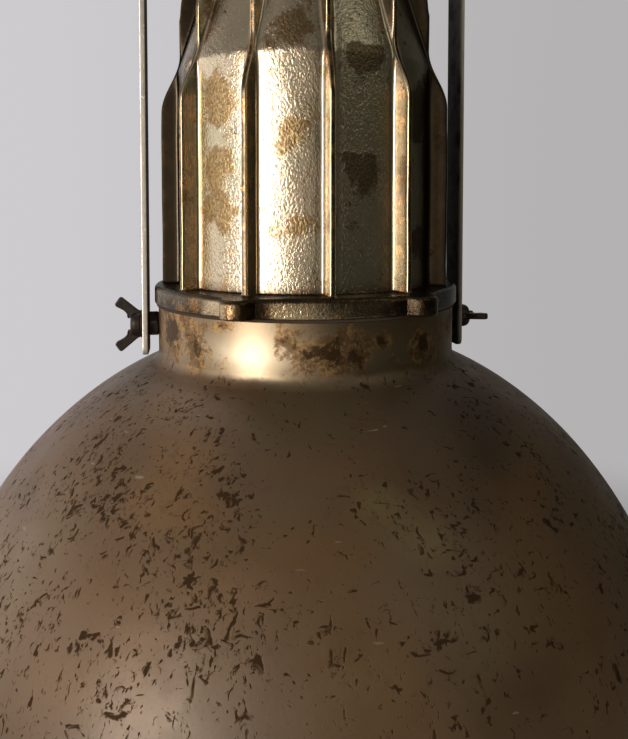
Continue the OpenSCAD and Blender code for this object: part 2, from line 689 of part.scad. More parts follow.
// From the block's third way round to the earth screw beside it
module earth_lead() color("#7c9a35") in_head() wire(smooth([
    [way_pitch, block_y + 3, block_z + 6], [way_pitch, block_y + 9, block_z + 6],
    [way_pitch + 1, block_y + 13, block_z + 6], [way_pitch + 6, block_y + 15, block_z + 5.5],
    [way_pitch + 12, block_y + 13, block_z + 3.5], [earth_x, block_y + 10.5, block_z + 1.8],
    [earth_x, block_y + 8.6, block_z + lead_r + 0.1]], 4), lead_r, [0.1, 0.1, 1]);

module earth_screw() color("#b59a52") in_head() translate([earth_x, block_y + 4, plate_z])
    screw(m4_r, plate_t + 3, m4_head_r - 0.8, m4_head_h);

// ---- bulb ----

// Outline of the glass from its tip up to the open top of its neck
function glass_side(inset) = let (r = bulb_r - inset, neck = glass_neck_r - inset,
        join_z = bulb_centre_z + bulb_r * sin(38), join_r = r * cos(38)) concat(
    arc(0, bulb_centre_z, r, -90, 38, 14),
    [for (i = [1:8]) let (t = i / 8)
        [neck + (join_r - neck) * pow(1 - t, 1.5), join_z + (bulb_cap_end_z - 2 - join_z) * t]],
    [[neck, glass_top_z]]);

module bulb_glass() color("#e9e4d0", 0.4) in_head() rotate_extrude()
    polygon(concat(glass_side(0), [for (i = [23:-1:0]) glass_side(glass_t)[i]]));

module bulb_cap() color("#c2a660") in_head() rotate_extrude() polygon([
    [bulb_cap_r - 0.5, bulb_cap_end_z], [bulb_cap_r, bulb_cap_end_z], [bulb_cap_r, bulb_shoulder_z],
    [9.5, bulb_insulator_z - 0.3], [9, bulb_insulator_z - 0.3], [bulb_cap_r - 0.5, bulb_shoulder_z - 0.4]]);

module bulb_insulator() color("#1d1b1f") in_head() rotate_extrude() polygon([
    [0, bulb_insulator_z - 2.4], [8.2, bulb_insulator_z - 0.2], [9.3, bulb_insulator_z - 0.2],
    [4.5, bulb_tip_z - 0.6], [4.5, bulb_tip_z], [0, bulb_tip_z]]);

module bulb_stem() color("#dfe6e4", 0.6) in_head() rotate_extrude() polygon([
    [0, bulb_centre_z + 14], [3, bulb_centre_z + 14], [3, bulb_cap_end_z - 8],
    [glass_neck_r - glass_t - seat_gap, bulb_cap_end_z + 2],
    [glass_neck_r - glass_t - seat_gap, bulb_cap_end_z + 3], [0, bulb_cap_end_z + 3]]);

// Two support wires down from the stem, with the filament strung in a zigzag between them
module bulb_filament() color("#8a8a88") in_head() {
    lead_x = 12;
    top = bulb_centre_z + 13.5;
    low = bulb_centre_z - 6;
    wire(smooth([[1.6, 0, top + 0.3], [4, 0, top - 3], [lead_x - 2, 0, low + 6], [lead_x, 0, low],
        [lead_x / 2, 2.5, low + 7], [0, 0, low], [-lead_x / 2, -2.5, low + 7], [-lead_x, 0, low],
        [-lead_x + 2, 0, low + 6], [-4, 0, top - 3], [-1.6, 0, top + 0.3]], 4), 0.35, [0.1, 1, 0.2], 6);
}

hang_eye();
swivel_washers();
eye_lock_nut();
yoke_strap();
left_pivot_bolt();
right_pivot_bolt();
left_inner_washer();
right_inner_washer();
left_spacer_nut();
right_spacer_nut();
left_outer_washer();
right_outer_washer();
left_wing_nut();
right_wing_nut();
ribbed_housing();
neck_gasket();
dome_shade();
rim_skirt();
top_cap();
cap_gasket();
cap_screws();
gland_body();
gland_washer();
gland_seal();
gland_nut();
gland_locknut();
holder_plate();
plate_screws();
lampholder();
holder_screws();
screw_shell();
centre_contact();
terminal_block();
terminal_screws();
live_lead();
neutral_lead();
earth_lead();
earth_screw();
bulb_glass();
bulb_cap();
bulb_insulator();
bulb_stem();
bulb_filament();
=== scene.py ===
"""Barn pendant lamp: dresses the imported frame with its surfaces, finishes, light and camera."""

import math
from types import SimpleNamespace

import bmesh
import bpy
import numpy as np
from bpy.props import FloatProperty, FloatVectorProperty, IntProperty, PointerProperty
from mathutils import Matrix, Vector


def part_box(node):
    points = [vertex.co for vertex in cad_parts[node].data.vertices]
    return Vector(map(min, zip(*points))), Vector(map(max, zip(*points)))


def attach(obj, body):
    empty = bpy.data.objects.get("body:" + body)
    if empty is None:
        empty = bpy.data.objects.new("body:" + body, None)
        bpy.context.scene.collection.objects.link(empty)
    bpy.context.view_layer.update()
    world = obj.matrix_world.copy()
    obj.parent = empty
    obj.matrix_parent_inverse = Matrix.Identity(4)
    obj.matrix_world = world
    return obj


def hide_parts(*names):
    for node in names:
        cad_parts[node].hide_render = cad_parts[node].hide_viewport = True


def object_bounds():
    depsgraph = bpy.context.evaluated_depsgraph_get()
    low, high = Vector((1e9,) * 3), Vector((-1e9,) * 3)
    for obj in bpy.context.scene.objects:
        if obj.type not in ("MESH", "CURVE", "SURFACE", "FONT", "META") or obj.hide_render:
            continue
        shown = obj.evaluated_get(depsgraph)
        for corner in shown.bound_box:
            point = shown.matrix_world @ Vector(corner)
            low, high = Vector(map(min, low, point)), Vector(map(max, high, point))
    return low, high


bl_info = {
    "name": "Barn Pendant Lamp",
    "version": (1, 0, 0),
    "blender": (4, 5, 0),
    "location": "View3D > Sidebar > Barn Lamp",
    "description": "Surfaces, finishes, light and camera for a ribbed barn pendant lamp",
    "category": "Object",
}

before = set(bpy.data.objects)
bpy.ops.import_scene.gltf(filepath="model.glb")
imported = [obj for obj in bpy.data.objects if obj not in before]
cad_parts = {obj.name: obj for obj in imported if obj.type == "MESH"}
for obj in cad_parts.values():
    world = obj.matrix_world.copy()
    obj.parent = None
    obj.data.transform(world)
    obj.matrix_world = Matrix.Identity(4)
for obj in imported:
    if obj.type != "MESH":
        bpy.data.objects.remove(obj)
CAD_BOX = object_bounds()
MM = 0.001  # all shapes below are worked out in millimetres


def middle(node):
    """The middle of a CAD node's box, in millimetres."""
    low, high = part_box(node)
    return np.array((low + high) / 2) / MM


def reach(node, axis, end):
    """How far a CAD node reaches along an axis: end 0 is its low side, 1 its high side; in millimetres."""
    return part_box(node)[end][axis] / MM


# Heights and radii taken from the frame; heights in the head are above the pivot axis
PIVOT_Z = middle("left_pivot_bolt")[2]


def head_top(node):
    """Height of a node's upper end above the pivot axis."""
    return reach(node, 2, 1) - PIVOT_Z


def head_low(node):
    """Height of a node's lower end above the pivot axis."""
    return reach(node, 2, 0) - PIVOT_Z


TOP_Z, SPIGOT_END = head_top("ribbed_housing"), head_low("ribbed_housing")
FLANGE_Z, NECK_TOP, CAP_Z = head_top("neck_gasket"), head_top("dome_shade"), head_low("top_cap")
SKIRT_Z, SKIRT_LOW, SKIRT_OUT = head_top("rim_skirt"), head_low("rim_skirt"), reach("rim_skirt", 0, 1)
PLATE_LOW = head_low("holder_plate")
YOKE_TOP = reach("yoke_strap", 2, 1)

# The casting, as the frame has it: its flange's height, then heights above the flange; STEP_H is a length
FLANGE_H, KINK_H, STEP_LOW, STEP_H, SHOULDER_H = 10.5, 121, 98, 33.0, 150
BODY_Z = FLANGE_Z + FLANGE_H
KINK_Z, STEP_Z, SHOULDER_Z = BODY_Z + KINK_H, BODY_Z + STEP_LOW, BODY_Z + SHOULDER_H
WALL_R, WALL_T, TOP_R, HOLE_R = 74.2, 4.0, 52.0, 41.0
LEAN, FIN_TOP = (WALL_R - TOP_R) / (TOP_Z - KINK_Z), TOP_Z - 3
FIN_COUNT, TIP_R, UPPER_R, ROOT_HALF, TIP_HALF = 12, 84.0, 73.4, 2.6, 1.4
FLANGE_R, FLANGE_ROUND = 88.5, 2.6
EAR_ANGLES = np.radians([60, 120, 240, 300])
EAR_PITCH, EAR_TIP, EAR_BASE, EAR_HOLE_R, EAR_HOLE_H = 91.5, 8.5, 17.0, 2.5, 8.4
SPIGOT_R, SPIGOT_IN = 85.0, 81.0
QUARTERS = np.pi / 4 + np.arange(4) * np.pi / 2  # angles of the plate's lugs and of the cap's screws

# The shade
NECK_R, SHEET_T, SHOULDER_R, DOME_CURVE, DOME_R = 86.4, 1.2, 8.0, 194.4, 208.4
NECK_END, RIM_DROP, BEAD_R, LIP_IN, BEAD_IN = -13.85, 9, 2.6, 3.6, 2.0
DOME_X = DOME_R - DOME_CURVE
DOME_Z = NECK_END - math.sqrt((DOME_CURVE + SHOULDER_R) ** 2 - (NECK_R + SHOULDER_R - DOME_X) ** 2)
DOME_END = SKIRT_Z - RIM_DROP

# The yoke, and the pivots along each bolt
STRAP_W, STRAP_T, BEND_R, ARM_END = 20.0, 3.2, 14.0, 17.0
BOLT_R, NUT_AF, NUT_H, HEAD_H, WASHER_R, WASHER_T = 4.0, 13.0, 5.4, 5.3, 8.0, 1.2
GAP, LOOSE, CLOSE = 0.1, 0.3, 0.05  # between stacked pieces, round a bolt in a hole, and in a thread
ARM_IN = -middle("left_outer_washer")[0] - (WASHER_T / 2 + GAP) - STRAP_T
BOSS_X, BOSS_R = SPIGOT_IN - 3.5, 10.0
SIDES = {"left": -1, "right": 1}
EYE_R, EYE_OUT, EYE_HALF, EYE_SHANK_R, EYE_HOLE_R, EYE_WASHER_R, LOCK_AF = 9, 16, 4, 5.0, 5.3, 10, 17

# The top cap, its screws and the cable gland
CAP_H, CAP_R, SCREW_PITCH, GLAND_R, GLAND_AF = 5, TOP_R - 0.5, (HOLE_R + TOP_R) / 2, 10.0, 24
GLAND_AT = (0, middle("gland_body")[1])


def length(name, description, default, low, high):
    """A property for a length in metres."""
    return FloatProperty(name=name, description=description, default=default, min=low, max=high, unit="LENGTH")


def swatch(name, description, *default):
    """A property for a colour."""
    return FloatVectorProperty(name=name, description=description, subtype="COLOR", size=3, min=0, max=1,
                               default=default)


class LampSizes(bpy.types.PropertyGroup):
    """Details that the surfaces add to the frame."""

    fin_fillet: length("Fin fillet", "Radius where a fin runs into the wall", 0.0018, 0.0, 0.004)
    fin_round: length("Fin edge", "Rounding of a fin's two outer edges", 0.0007, 0.0, 0.0013)
    ear_blend: length("Ear blend", "Size of the blend between an ear and the flange", 0.004, 0.001, 0.01)
    casting_wave: length("Casting wave", "Depth of the casting's slow unevenness", 0.00012, 0.0, 0.0004)
    sheet_wave: length("Sheet wave", "Depth of the spun sheet's slow unevenness", 0.0002, 0.0, 0.0006)
    strap_edge: length("Strap edge", "Rounding of the flat bar's edges", 0.0006, 0.0001, 0.0015)
    thread_depth: length("Thread depth", "Depth of the rolled thread on the bulb's cap", 0.0009, 0.0001, 0.0012)
    round_steps: IntProperty(
        name="Round steps", description="Points around each large turned surface", default=256, min=96, max=384)


class LampFinishes(bpy.types.PropertyGroup):
    """Colours of the lamp's finishes and of the stage."""

    cast_pale: swatch("Casting, pale", "Worn bright metal of the casting", 0.64, 0.52, 0.375)
    cast_gold: swatch("Casting, gold", "Gold-brown patches on the casting", 0.43, 0.27, 0.105)
    # cast_dark is also the colour of the casting's painted shade: darkened sectors, shaded patches and the dark band
    # above the flange
    cast_dark: swatch("Casting, dark", "Dark patina in the casting's corners", 0.100, 0.063, 0.033)
    shade_brown: swatch("Shade, brown", "Browned outside of the shade", 0.107, 0.063, 0.031)
    shade_speck: swatch("Shade, specks", "Dark specks on the shade", 0.042, 0.022, 0.010)
    shade_cream: swatch("Shade, inside", "Cream enamel inside the shade", 0.78, 0.74, 0.64)
    strap_grey: swatch("Strap", "Grey metal of the yoke", 0.50, 0.485, 0.455)
    steel_dark: swatch("Dark steel", "Blackened bolts and nuts", 0.055, 0.045, 0.037)
    brass: swatch("Brass", "Gland and contacts", 0.55, 0.40, 0.18)
    floor: swatch("Floor", "Pale floor under the lamp", 0.72, 0.72, 0.73)
    background_left: swatch("Background, left", "Pale background on the left", 0.610, 0.597, 0.617)
    background_right: swatch("Background, right", "Pale background on the right", 0.456, 0.445, 0.445)


# ---- mesh tools ----

def smoothstep(low, high, x):
    """0 below low, 1 above high, and 3t^2 - 2t^3 between them."""
    t = np.clip((x - low) / (high - low), 0, 1)
    return t * t * (3 - 2 * t)


def whole_turn(steps):
    """Even angles round a whole turn."""
    return np.linspace(0, 2 * np.pi, steps, endpoint=False)


def circle(r, t, z):
    """Points at radii r, angles t and heights z: (r cos t, r sin t, z)."""
    return np.stack([r * np.cos(t), r * np.sin(t), z + 0 * t], -1)


def polar(r, a):
    """The x and y of a point at radius r and angle a."""
    return r * math.cos(a), r * math.sin(a)


def grid_faces(rows, cols, closed):
    """Quads of a grid of rows that each run once round; closed also joins the last row to the first."""
    r, c = np.meshgrid(np.arange(rows if closed else rows - 1), np.arange(cols), indexing="ij")
    r2, c2 = (r + 1) % rows, (c + 1) % cols
    return np.stack([r * cols + c, r * cols + c2, r2 * cols + c2, r2 * cols + c], -1).reshape(-1, 4)


def skin(rings, closed=False):
    """Points and faces over a stack of rings: quads between neighbours, and a fan of triangles to the
    middle of each end ring, unless the stack is closed on itself."""
    rings = np.asarray(rings, float)
    rows, cols = rings.shape[:2]
    points, faces = rings.reshape(-1, 3), [grid_faces(rows, cols, closed)]
    if not closed:
        k = np.arange(cols)
        n, count = (k + 1) % cols, len(points)
        top = (rows - 1) * cols
        faces += [np.stack([n, k, np.full(cols, count)], -1),
                  np.stack([k + top, n + top, np.full(cols, count + 1)], -1)]
        points = np.vstack([points, rings[[0, -1]].mean(1)])
    return points, faces


def turned(profile, steps=96, closed=False):
    """A profile of (radius, height) pairs turned about Z."""
    profile = np.asarray(profile, float)
    return skin(circle(profile[:, :1], whole_turn(steps), profile[:, 1:]), closed)


def lathe(corners, steps=96, curve=4):
    """A solid turned about Z from (radius, height, rounding) corners."""
    return turned(rounded(corners, closed=False, steps=curve), steps)


def arc(cx, cz, r, start, end, steps):
    """Points on an arc: centre plus r times (cos a, sin a), with a in degrees from start to end."""
    a = np.radians(np.linspace(start, end, steps + 1))
    return np.stack([cx + r * np.cos(a), cz + r * np.sin(a)], -1)


def rounded(corners, closed=True, steps=4):
    """A profile whose corners (x, z, radius) are rounded: each corner becomes a quadratic curve from
    one radius before it to one radius after it, with the corner as its control point."""
    corners = [np.array(c, float) for c in corners]
    out, last = [], len(corners) - 1
    for i, corner in enumerate(corners):
        at, r = corner[:2], corner[2]
        if r == 0 or (not closed and i in (0, last)):
            out.append(at[None])
            continue
        before, after = corners[i - 1][:2] - at, corners[(i + 1) % (last + 1)][:2] - at
        a, b = at + before / np.linalg.norm(before) * r, at + after / np.linalg.norm(after) * r
        t = np.linspace(0, 1, steps + 1)[:, None]
        out.append((1 - t) ** 2 * a + 2 * t * (1 - t) * at + t ** 2 * b)
    return np.vstack(out)


def in_head(shape, at=(0, 0)):
    """A shape drawn about the pivot axis, brought to its real height and aside by x and y."""
    return shape[0] + (*at, PIVOT_Z), shape[1]


def at_bolt(shape, side):
    """A shape drawn with +Z outward along a bolt, brought to it: right (z, y, -x), left (-z, -y, -x)."""
    p = shape[0]
    return in_head((np.stack([p[:, 2] * side, p[:, 1] * side, -p[:, 0]], -1), shape[1]))


def about_y(shape):
    """A shape drawn about Z, turned to stand about Y: (x, -z, y)."""
    p = shape[0]
    return np.stack([p[:, 0], -p[:, 2], p[:, 1]], -1), shape[1]


def spun(shape, angle):
    """A shape turned about Z by an angle."""
    c, s = math.cos(angle), math.sin(angle)
    return shape[0] @ np.array([[c, s, 0], [-s, c, 0], [0, 0, 1]]), shape[1]


def together(*shapes):
    """Several shapes as one, with each one's faces renumbered."""
    points, faces, count = [], [], 0
    for p, fs in shapes:
        points.append(p)
        faces += [f + count for f in fs]
        count += len(p)
    return np.vstack(points), faces


def build(name, shape, *finishes, sharp=32.0):
    """A mesh object in metres from points in millimetres: doubles merged, smooth, sharp past an angle."""
    points, faces = shape
    mesh = bpy.data.meshes.new(name)
    corner = np.concatenate([f.ravel() for f in faces]).astype(np.int32)
    sizes = np.concatenate([np.full(len(f), f.shape[1]) for f in faces]).astype(np.int32)
    mesh.vertices.add(len(points))
    mesh.vertices.foreach_set("co", (points * MM).astype(np.float32).ravel())
    mesh.loops.add(len(corner))
    mesh.loops.foreach_set("vertex_index", corner)
    mesh.polygons.add(len(sizes))
    mesh.polygons.foreach_set("loop_start", np.concatenate([[0], np.cumsum(sizes)[:-1]]).astype(np.int32))
    mesh.update(calc_edges=True)
    tidy(mesh, sharp)
    piece = bpy.data.objects.new(name, mesh)
    bpy.context.scene.collection.objects.link(piece)
    for finish in finishes:
        mesh.materials.append(FINISH[finish])
    return piece


def tidy(mesh, sharp=32.0, outward=False):
    """Merges doubled points, drops faces that they flatten, and sets smooth shading with sharp edges."""
    work = bmesh.new()
    work.from_mesh(mesh)
    bmesh.ops.remove_doubles(work, verts=work.verts, dist=2e-6)
    if outward:
        bmesh.ops.recalc_face_normals(work, faces=work.faces)
    work.to_mesh(mesh)
    work.free()
    mesh.polygons.foreach_set("use_smooth", np.ones(len(mesh.polygons), bool))
    mesh.set_sharp_from_angle(angle=math.radians(sharp))
    mesh.update()


def applied(piece, sharp):
    """Turns a piece's modifiers into its mesh."""
    bpy.context.view_layer.update()
    graph = bpy.context.evaluated_depsgraph_get()
    mesh = bpy.data.meshes.new_from_object(piece.evaluated_get(graph), depsgraph=graph)
    old, name = piece.data, piece.data.name
    piece.modifiers.clear()
    piece.data = mesh
    bpy.data.meshes.remove(old)
    mesh.name = name
    tidy(mesh, sharp)


def combine(piece, how, *shapes, sharp=32.0):
    """Adds closed shapes to a piece (UNION) or takes them away (DIFFERENCE), and applies the result."""
    tool = build(piece.name + "_tool", together(*shapes))
    step = piece.modifiers.new(how, "BOOLEAN")
    step.operation, step.solver, step.object = how, "MANIFOLD", tool
    faces = len(piece.data.polygons)
    applied(piece, sharp)
    bpy.data.objects.remove(tool)
    if len(piece.data.polygons) in (0, faces):
        raise RuntimeError(f"the {how.lower()} on {piece.name} did nothing")


def remeshed(piece, voxel, passes):
    """Melts a piece's parts into one skin on a voxel grid, then smooths it."""
    step = piece.modifiers.new("remesh", "REMESH")
    step.mode, step.voxel_size = "VOXEL", voxel * MM
    ease = piece.modifiers.new("ease", "SMOOTH")
    ease.factor, ease.iterations = 0.5, passes
    applied(piece, 60.0)


FINISH = {}  # the finishes by name, made by the first operator


def place(piece, body, finish, *nodes):
    """Lets a piece ride on its body and stand for its CAD nodes, which it hides; finish is not used."""
    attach(piece, body)
    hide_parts(*nodes)


def dress(name, shape, finish, body, node):
    """Builds a piece with one finish and places it."""
    place(build(name, shape, finish), body, finish, node)


def paint(piece, **numbers):
    """Stores numbers per point under the names that a finish reads."""
    for name, values in numbers.items():
        layer = piece.data.attributes.new(name, "FLOAT", "POINT")
        layer.data.foreach_set("value", np.asarray(values, np.float32))


def coordinates(piece):
    """A mesh's points in millimetres, as x, y and z, and their radii and angles about Z."""
    co = np.empty(len(piece.data.vertices) * 3, np.float32)
    piece.data.vertices.foreach_get("co", co)
    x, y, z = co.reshape(-1, 3).astype(float).T / MM
    return x, y, z, np.hypot(x, y), np.arctan2(y, x)


def sector(t, start, end, soft):
    """1 between two angles in degrees, eased off over a soft width on each side."""
    centre, half = (start + end + (360 if end < start else 0)) / 2, ((end - start) % 360) / 2
    off = np.abs((np.degrees(t) - centre + 180) % 360 - 180)
    return 1 - smoothstep(half - soft, half + soft, off)


def bells(t, z, spots):
    """A row for each spot (angle, height, half width in degrees, half height, share): its bell curve
    share * exp(-(distance / half size)^2) at the points' angles and heights."""
    return np.array([share * np.exp(-(((np.degrees(t) - angle + 180) % 360 - 180) / wide) ** 2
                                    - ((z - height) / tall) ** 2) for angle, height, wide, tall, share in spots])


# ---- shapes ----

def ring(inner, outer, low, high, edge=0.3, steps=96):
    """A flat ring with rounded edges: a rounded rectangle turned about Z."""
    return turned(rounded([(outer, low, edge), (outer, high, edge), (inner, high, edge / 2),
                           (inner, low, edge / 2)]), steps, closed=True)


def rod(radius, low, high, edge=0.3):
    """A round bar with chamfered ends."""
    return turned([(radius - edge, low), (radius, low + edge), (radius, high - edge), (radius - edge, high)], 48)


def cutter(radius, low, high):
    """A plain bar to cut a hole with."""
    return rod(radius, low, high, 0.05)


def bolt_holes(low, high):
    """Bars through both pivots, to cut the bolts' holes with."""
    return [at_bolt(cutter(BOLT_R + LOOSE, low, high), side) for side in SIDES.values()]


def hex_rings(across_flats, low, high, chamfer_high=True, turn=0.0):
    """Rings of a hexagon with corners cut by a cone: r = min(half the flats / cos of the angle from
    the flat's middle, a cone that widens by 1.7 for each unit from the end)."""
    t, flat = whole_turn(96), across_flats / 2
    side = np.minimum(flat / np.cos(np.mod(t, np.pi / 3) - np.pi / 6), flat * 1.145)
    steps = np.array([0, 0.12, 0.3, 0.55, 0.85])
    lower = [(low + d, flat * 0.965 + 1.7 * d) for d in steps]
    upper = [(high - d, flat * 0.965 + 1.7 * d) for d in steps[::-1]] if chamfer_high else [(high, flat * 2)]
    return np.stack([circle(np.minimum(side, cone), t + turn, z) for z, cone in lower + upper])


def circle_rings(*pairs):
    """Plain rings for (radius, height) pairs, to stack with hexagon rings."""
    return np.stack([circle(r, whole_turn(96), z) for r, z in pairs])


def nut(across_flats, bore, low, high, turn=0.0):
    """A hexagon nut: chamfered hexagon outside, and a bore with broken edges inside."""
    inside = circle_rings((bore + 0.5, high), (bore, high - 0.5), (bore, low + 0.5), (bore + 0.5, low))
    return skin(np.concatenate([hex_rings(across_flats, low, high, turn=turn), inside]), closed=True)


def block(x, y, z):
    """A plain box from x[0], y[0], z[0] to x[1], y[1], z[1], for slots and lugs."""
    corners = np.array([(x[0], y[0]), (x[1], y[0]), (x[1], y[1]), (x[0], y[1])], float)
    return skin(np.stack([np.column_stack([corners, np.full(4, h)]) for h in z]))


# ---- the housing casting ----

HALF_COLUMNS, WALL_COLUMNS = 19, 6  # columns of half a fin's sector, and how many of them are on the wall


def wall_radius(z):
    """The plain wall: upright to the kink, then leaning in evenly to the top."""
    return np.where(z < KINK_Z, WALL_R, WALL_R - LEAN * (z - KINK_Z))


def tip_radius(z):
    """The fin tips: a cosine step from the lower to the upper radius, then a quarter ellipse in to the top."""
    step = UPPER_R + (TIP_R - UPPER_R) * (1 + np.cos(np.pi * np.clip((z - STEP_Z) / STEP_H, 0, 1))) / 2
    rise, end = np.clip((z - SHOULDER_Z) / (FIN_TOP - SHOULDER_Z), 0, 1), TOP_R + 1
    shoulder = end + (UPPER_R - end) * np.sqrt(1 - rise ** 2) - 0.6 * smoothstep(0, 0.1, rise) * (1 - rise)
    return np.where(z < SHOULDER_Z, step, shoulder)


def casting_wave(t, z, depth):
    """Slow unevenness of the casting: the sum of three sine waves in angle and height."""
    return depth * (np.sin(5 * t + 1.3) * np.sin(z / 17) + 0.7 * np.sin(9 * t - z / 12 + 0.7)
                    + 0.5 * np.sin(23 * t + z / 6.5))


def around(half, mirrored):
    """Half a sector's columns (from a fin's middle to the wall's middle), mirrored and repeated for each fin."""
    sign = -1 if mirrored else 1
    whole = np.concatenate([sign * half[:, :0:-1], half[:, :-1]], 1)
    turns = np.repeat(np.arange(FIN_COUNT) * 2 * np.pi / FIN_COUNT, whole.shape[1]) if mirrored else 0
    return np.tile(whole, (1, FIN_COUNT)) + turns


def ribbed_rows(z, fillet, edge, spread, depth):
    """Radius and angle of the ribbed outline at heights z. Half a sector runs along the fin's tip, round
    its edge (a quadratic curve), down the flank (a straight line), through the fillet (another quadratic
    curve) and along the wall; an angle is asin(sideways distance / radius)."""
    wall = wall_radius(z)[:, None] + spread
    deep = np.maximum(tip_radius(z)[:, None] + spread - wall, 1e-4)
    edge_share, fillet_share = np.minimum(edge / deep, 0.4), np.minimum(fillet / deep, 0.4)
    half_tip, half_root = TIP_HALF + spread * 0.6, ROOT_HALF + spread * 0.6

    def flank(share):
        return wall + deep * (1 - share), half_tip + (half_root - half_tip) * share

    def curve(a, c, b, t):
        return [(1 - t) ** 2 * p + 2 * t * (1 - t) * q + t ** 2 * s for p, q, s in zip(a, c, b)]

    one = np.ones_like(wall)
    tip = wall + deep
    start = (tip, (half_tip - min(edge, half_tip * 0.7)) * one)
    edge_end, fillet_start = flank(edge_share), flank(1 - fillet_share)
    pairs = [(tip, 0 * one), start]
    pairs += [curve(start, (tip, half_tip * one), edge_end, t) for t in (1 / 3, 2 / 3, 1)]
    pairs += [flank(edge_share + (1 - fillet_share - edge_share) * k / 4) for k in (1, 2, 3)]
    pairs += [curve(fillet_start, (wall, half_root * one), (wall, (half_root + fillet) * one), t)
              for t in np.linspace(0, 1, 5)]
    radius = np.concatenate([p[0] * one for p in pairs], 1)
    angle = np.arcsin(np.concatenate([p[1] * one for p in pairs], 1) / radius)
    share = np.arange(1, WALL_COLUMNS + 1) / WALL_COLUMNS
    angle = np.concatenate([angle, angle[:, -1:] + (np.pi / FIN_COUNT - angle[:, -1:]) * share], 1)
    radius = np.concatenate([radius, np.repeat(wall, WALL_COLUMNS, 1)], 1)
    radius, angle = around(radius, False), around(angle, True)
    fade = smoothstep(BODY_Z, BODY_Z + 12, z) * (1 - smoothstep(TOP_Z - 15, TOP_Z - 4, z))
    return radius + casting_wave(angle, z[:, None], depth) * fade[:, None], angle


def flange_reach(t, blend):
    """Outer radius of the flange at angle t: the larger of the round flange and each ear's outline (a
    tip circle with straight sides), eased where they meet by over^2 / (4 blend)."""
    out = np.full_like(t, FLANGE_R)
    foot = math.sqrt(FLANGE_R ** 2 - EAR_BASE ** 2) - 0.2
    across, along = EAR_BASE - EAR_TIP, EAR_PITCH - foot
    for ear in EAR_ANGLES:
        d = np.abs(np.angle(np.exp(1j * (t - ear))))
        tip = EAR_PITCH * np.cos(d) + np.sqrt(np.maximum(EAR_TIP ** 2 - (EAR_PITCH * np.sin(d)) ** 2, 0))
        side = (across * EAR_PITCH + along * EAR_TIP) / (across * np.cos(d) + along * np.sin(d))
        outline = np.where(d < math.atan2(EAR_TIP, EAR_PITCH), tip, side)
        over = np.maximum(blend - np.abs(out - outline), 0)
        out = np.where(d < 0.35, np.maximum(out, outline) + over ** 2 / (4 * blend), out)
    return out


def housing_shape(sizes):
    """The whole casting as one closed skin of rings: spigot, flange with ears, ribbed wall, top ring and
    the hollow inside. A plain ring has even angles; a ribbed ring has the fins' own columns."""
    fillet, edge = sizes.fin_fillet / MM, sizes.fin_round / MM
    even = whole_turn(2 * (HALF_COLUMNS - 1) * FIN_COUNT) - np.pi / FIN_COUNT
    out = flange_reach(even, sizes.ear_blend / MM)
    ear = smoothstep(0, 1.5, out - FLANGE_R) * 0.4

    def plain(*pairs):
        return [circle(r, even, z)[None] for r, z in pairs]

    def ribbed(z, spread=0.0, depth=0.0):
        z = np.atleast_1d(np.asarray(z, float))
        return circle(*ribbed_rows(z, fillet, edge, spread, depth), z[:, None])

    lower = arc(-1, FLANGE_Z + 1, 1, -90, 0, 4)
    upper = arc(-FLANGE_ROUND, BODY_Z - FLANGE_ROUND, FLANGE_ROUND, 0, 90, 7)
    heights = np.concatenate([np.linspace(BODY_Z + 1.2, STEP_Z - 2, 20), np.linspace(STEP_Z, STEP_Z + STEP_H, 26),
                              np.linspace(STEP_Z + STEP_H + 3, SHOULDER_Z - 2, 6),
                              SHOULDER_Z + (FIN_TOP - SHOULDER_Z) * np.sin(np.linspace(0, np.pi / 2, 18))])
    rings = plain((SPIGOT_IN + 0.5, SPIGOT_END), (SPIGOT_R - 0.5, SPIGOT_END), (SPIGOT_R, SPIGOT_END + 0.5),
                  (SPIGOT_R, FLANGE_Z), *((out + x, z + ear) for x, z in lower),
                  *((out + x, z - ear) for x, z in upper))
    rings += [ribbed(BODY_Z, 1.2), ribbed(BODY_Z + 0.12, 0.65), ribbed(BODY_Z + 0.5, 0.2),
              ribbed(heights, 0.0, sizes.casting_wave / MM),
              ribbed(TOP_Z - 1.2), ribbed(TOP_Z - 0.35, -0.3), ribbed(TOP_Z, -1.1)]
    rings += plain((HOLE_R + 0.5, TOP_Z), (HOLE_R, TOP_Z - 0.5), (HOLE_R, TOP_Z - 9.5), (HOLE_R + 0.6, TOP_Z - 10),
                   (TOP_R + LEAN * 10 - WALL_T, TOP_Z - 13), (WALL_R - WALL_T, KINK_Z - 1),
                   (WALL_R - WALL_T, BODY_Z + 6), (SPIGOT_IN, FLANGE_Z), (SPIGOT_IN, SPIGOT_END + 0.5))
    return in_head(skin(np.concatenate(rings), closed=True))


# Gold-brown patches on the casting: angle in degrees, height, half width in degrees, half height
PATCHES = [(256, 101, 8, 11), (258, 56, 8, 9), (256, 158, 11, 9), (225, 121, 6, 11), (223, 88, 6, 8),
           (222, 66, 7, 9), (284, 84, 7, 12), (283, 140, 9, 9), (314, 118, 7, 14), (313, 48, 8, 8),
           (198, 100, 6, 13), (194, 44, 7, 8), (344, 72, 7, 14), (15, 110, 8, 12), (17, 60, 7, 9),
           (45, 92, 8, 10), (47, 155, 9, 8), (74, 128, 7, 10), (76, 70, 7, 12), (105, 101, 8, 13),
           (106, 44, 8, 8), (134, 82, 7, 11), (137, 150, 9, 9), (165, 118, 8, 12), (164, 58, 7, 10)]


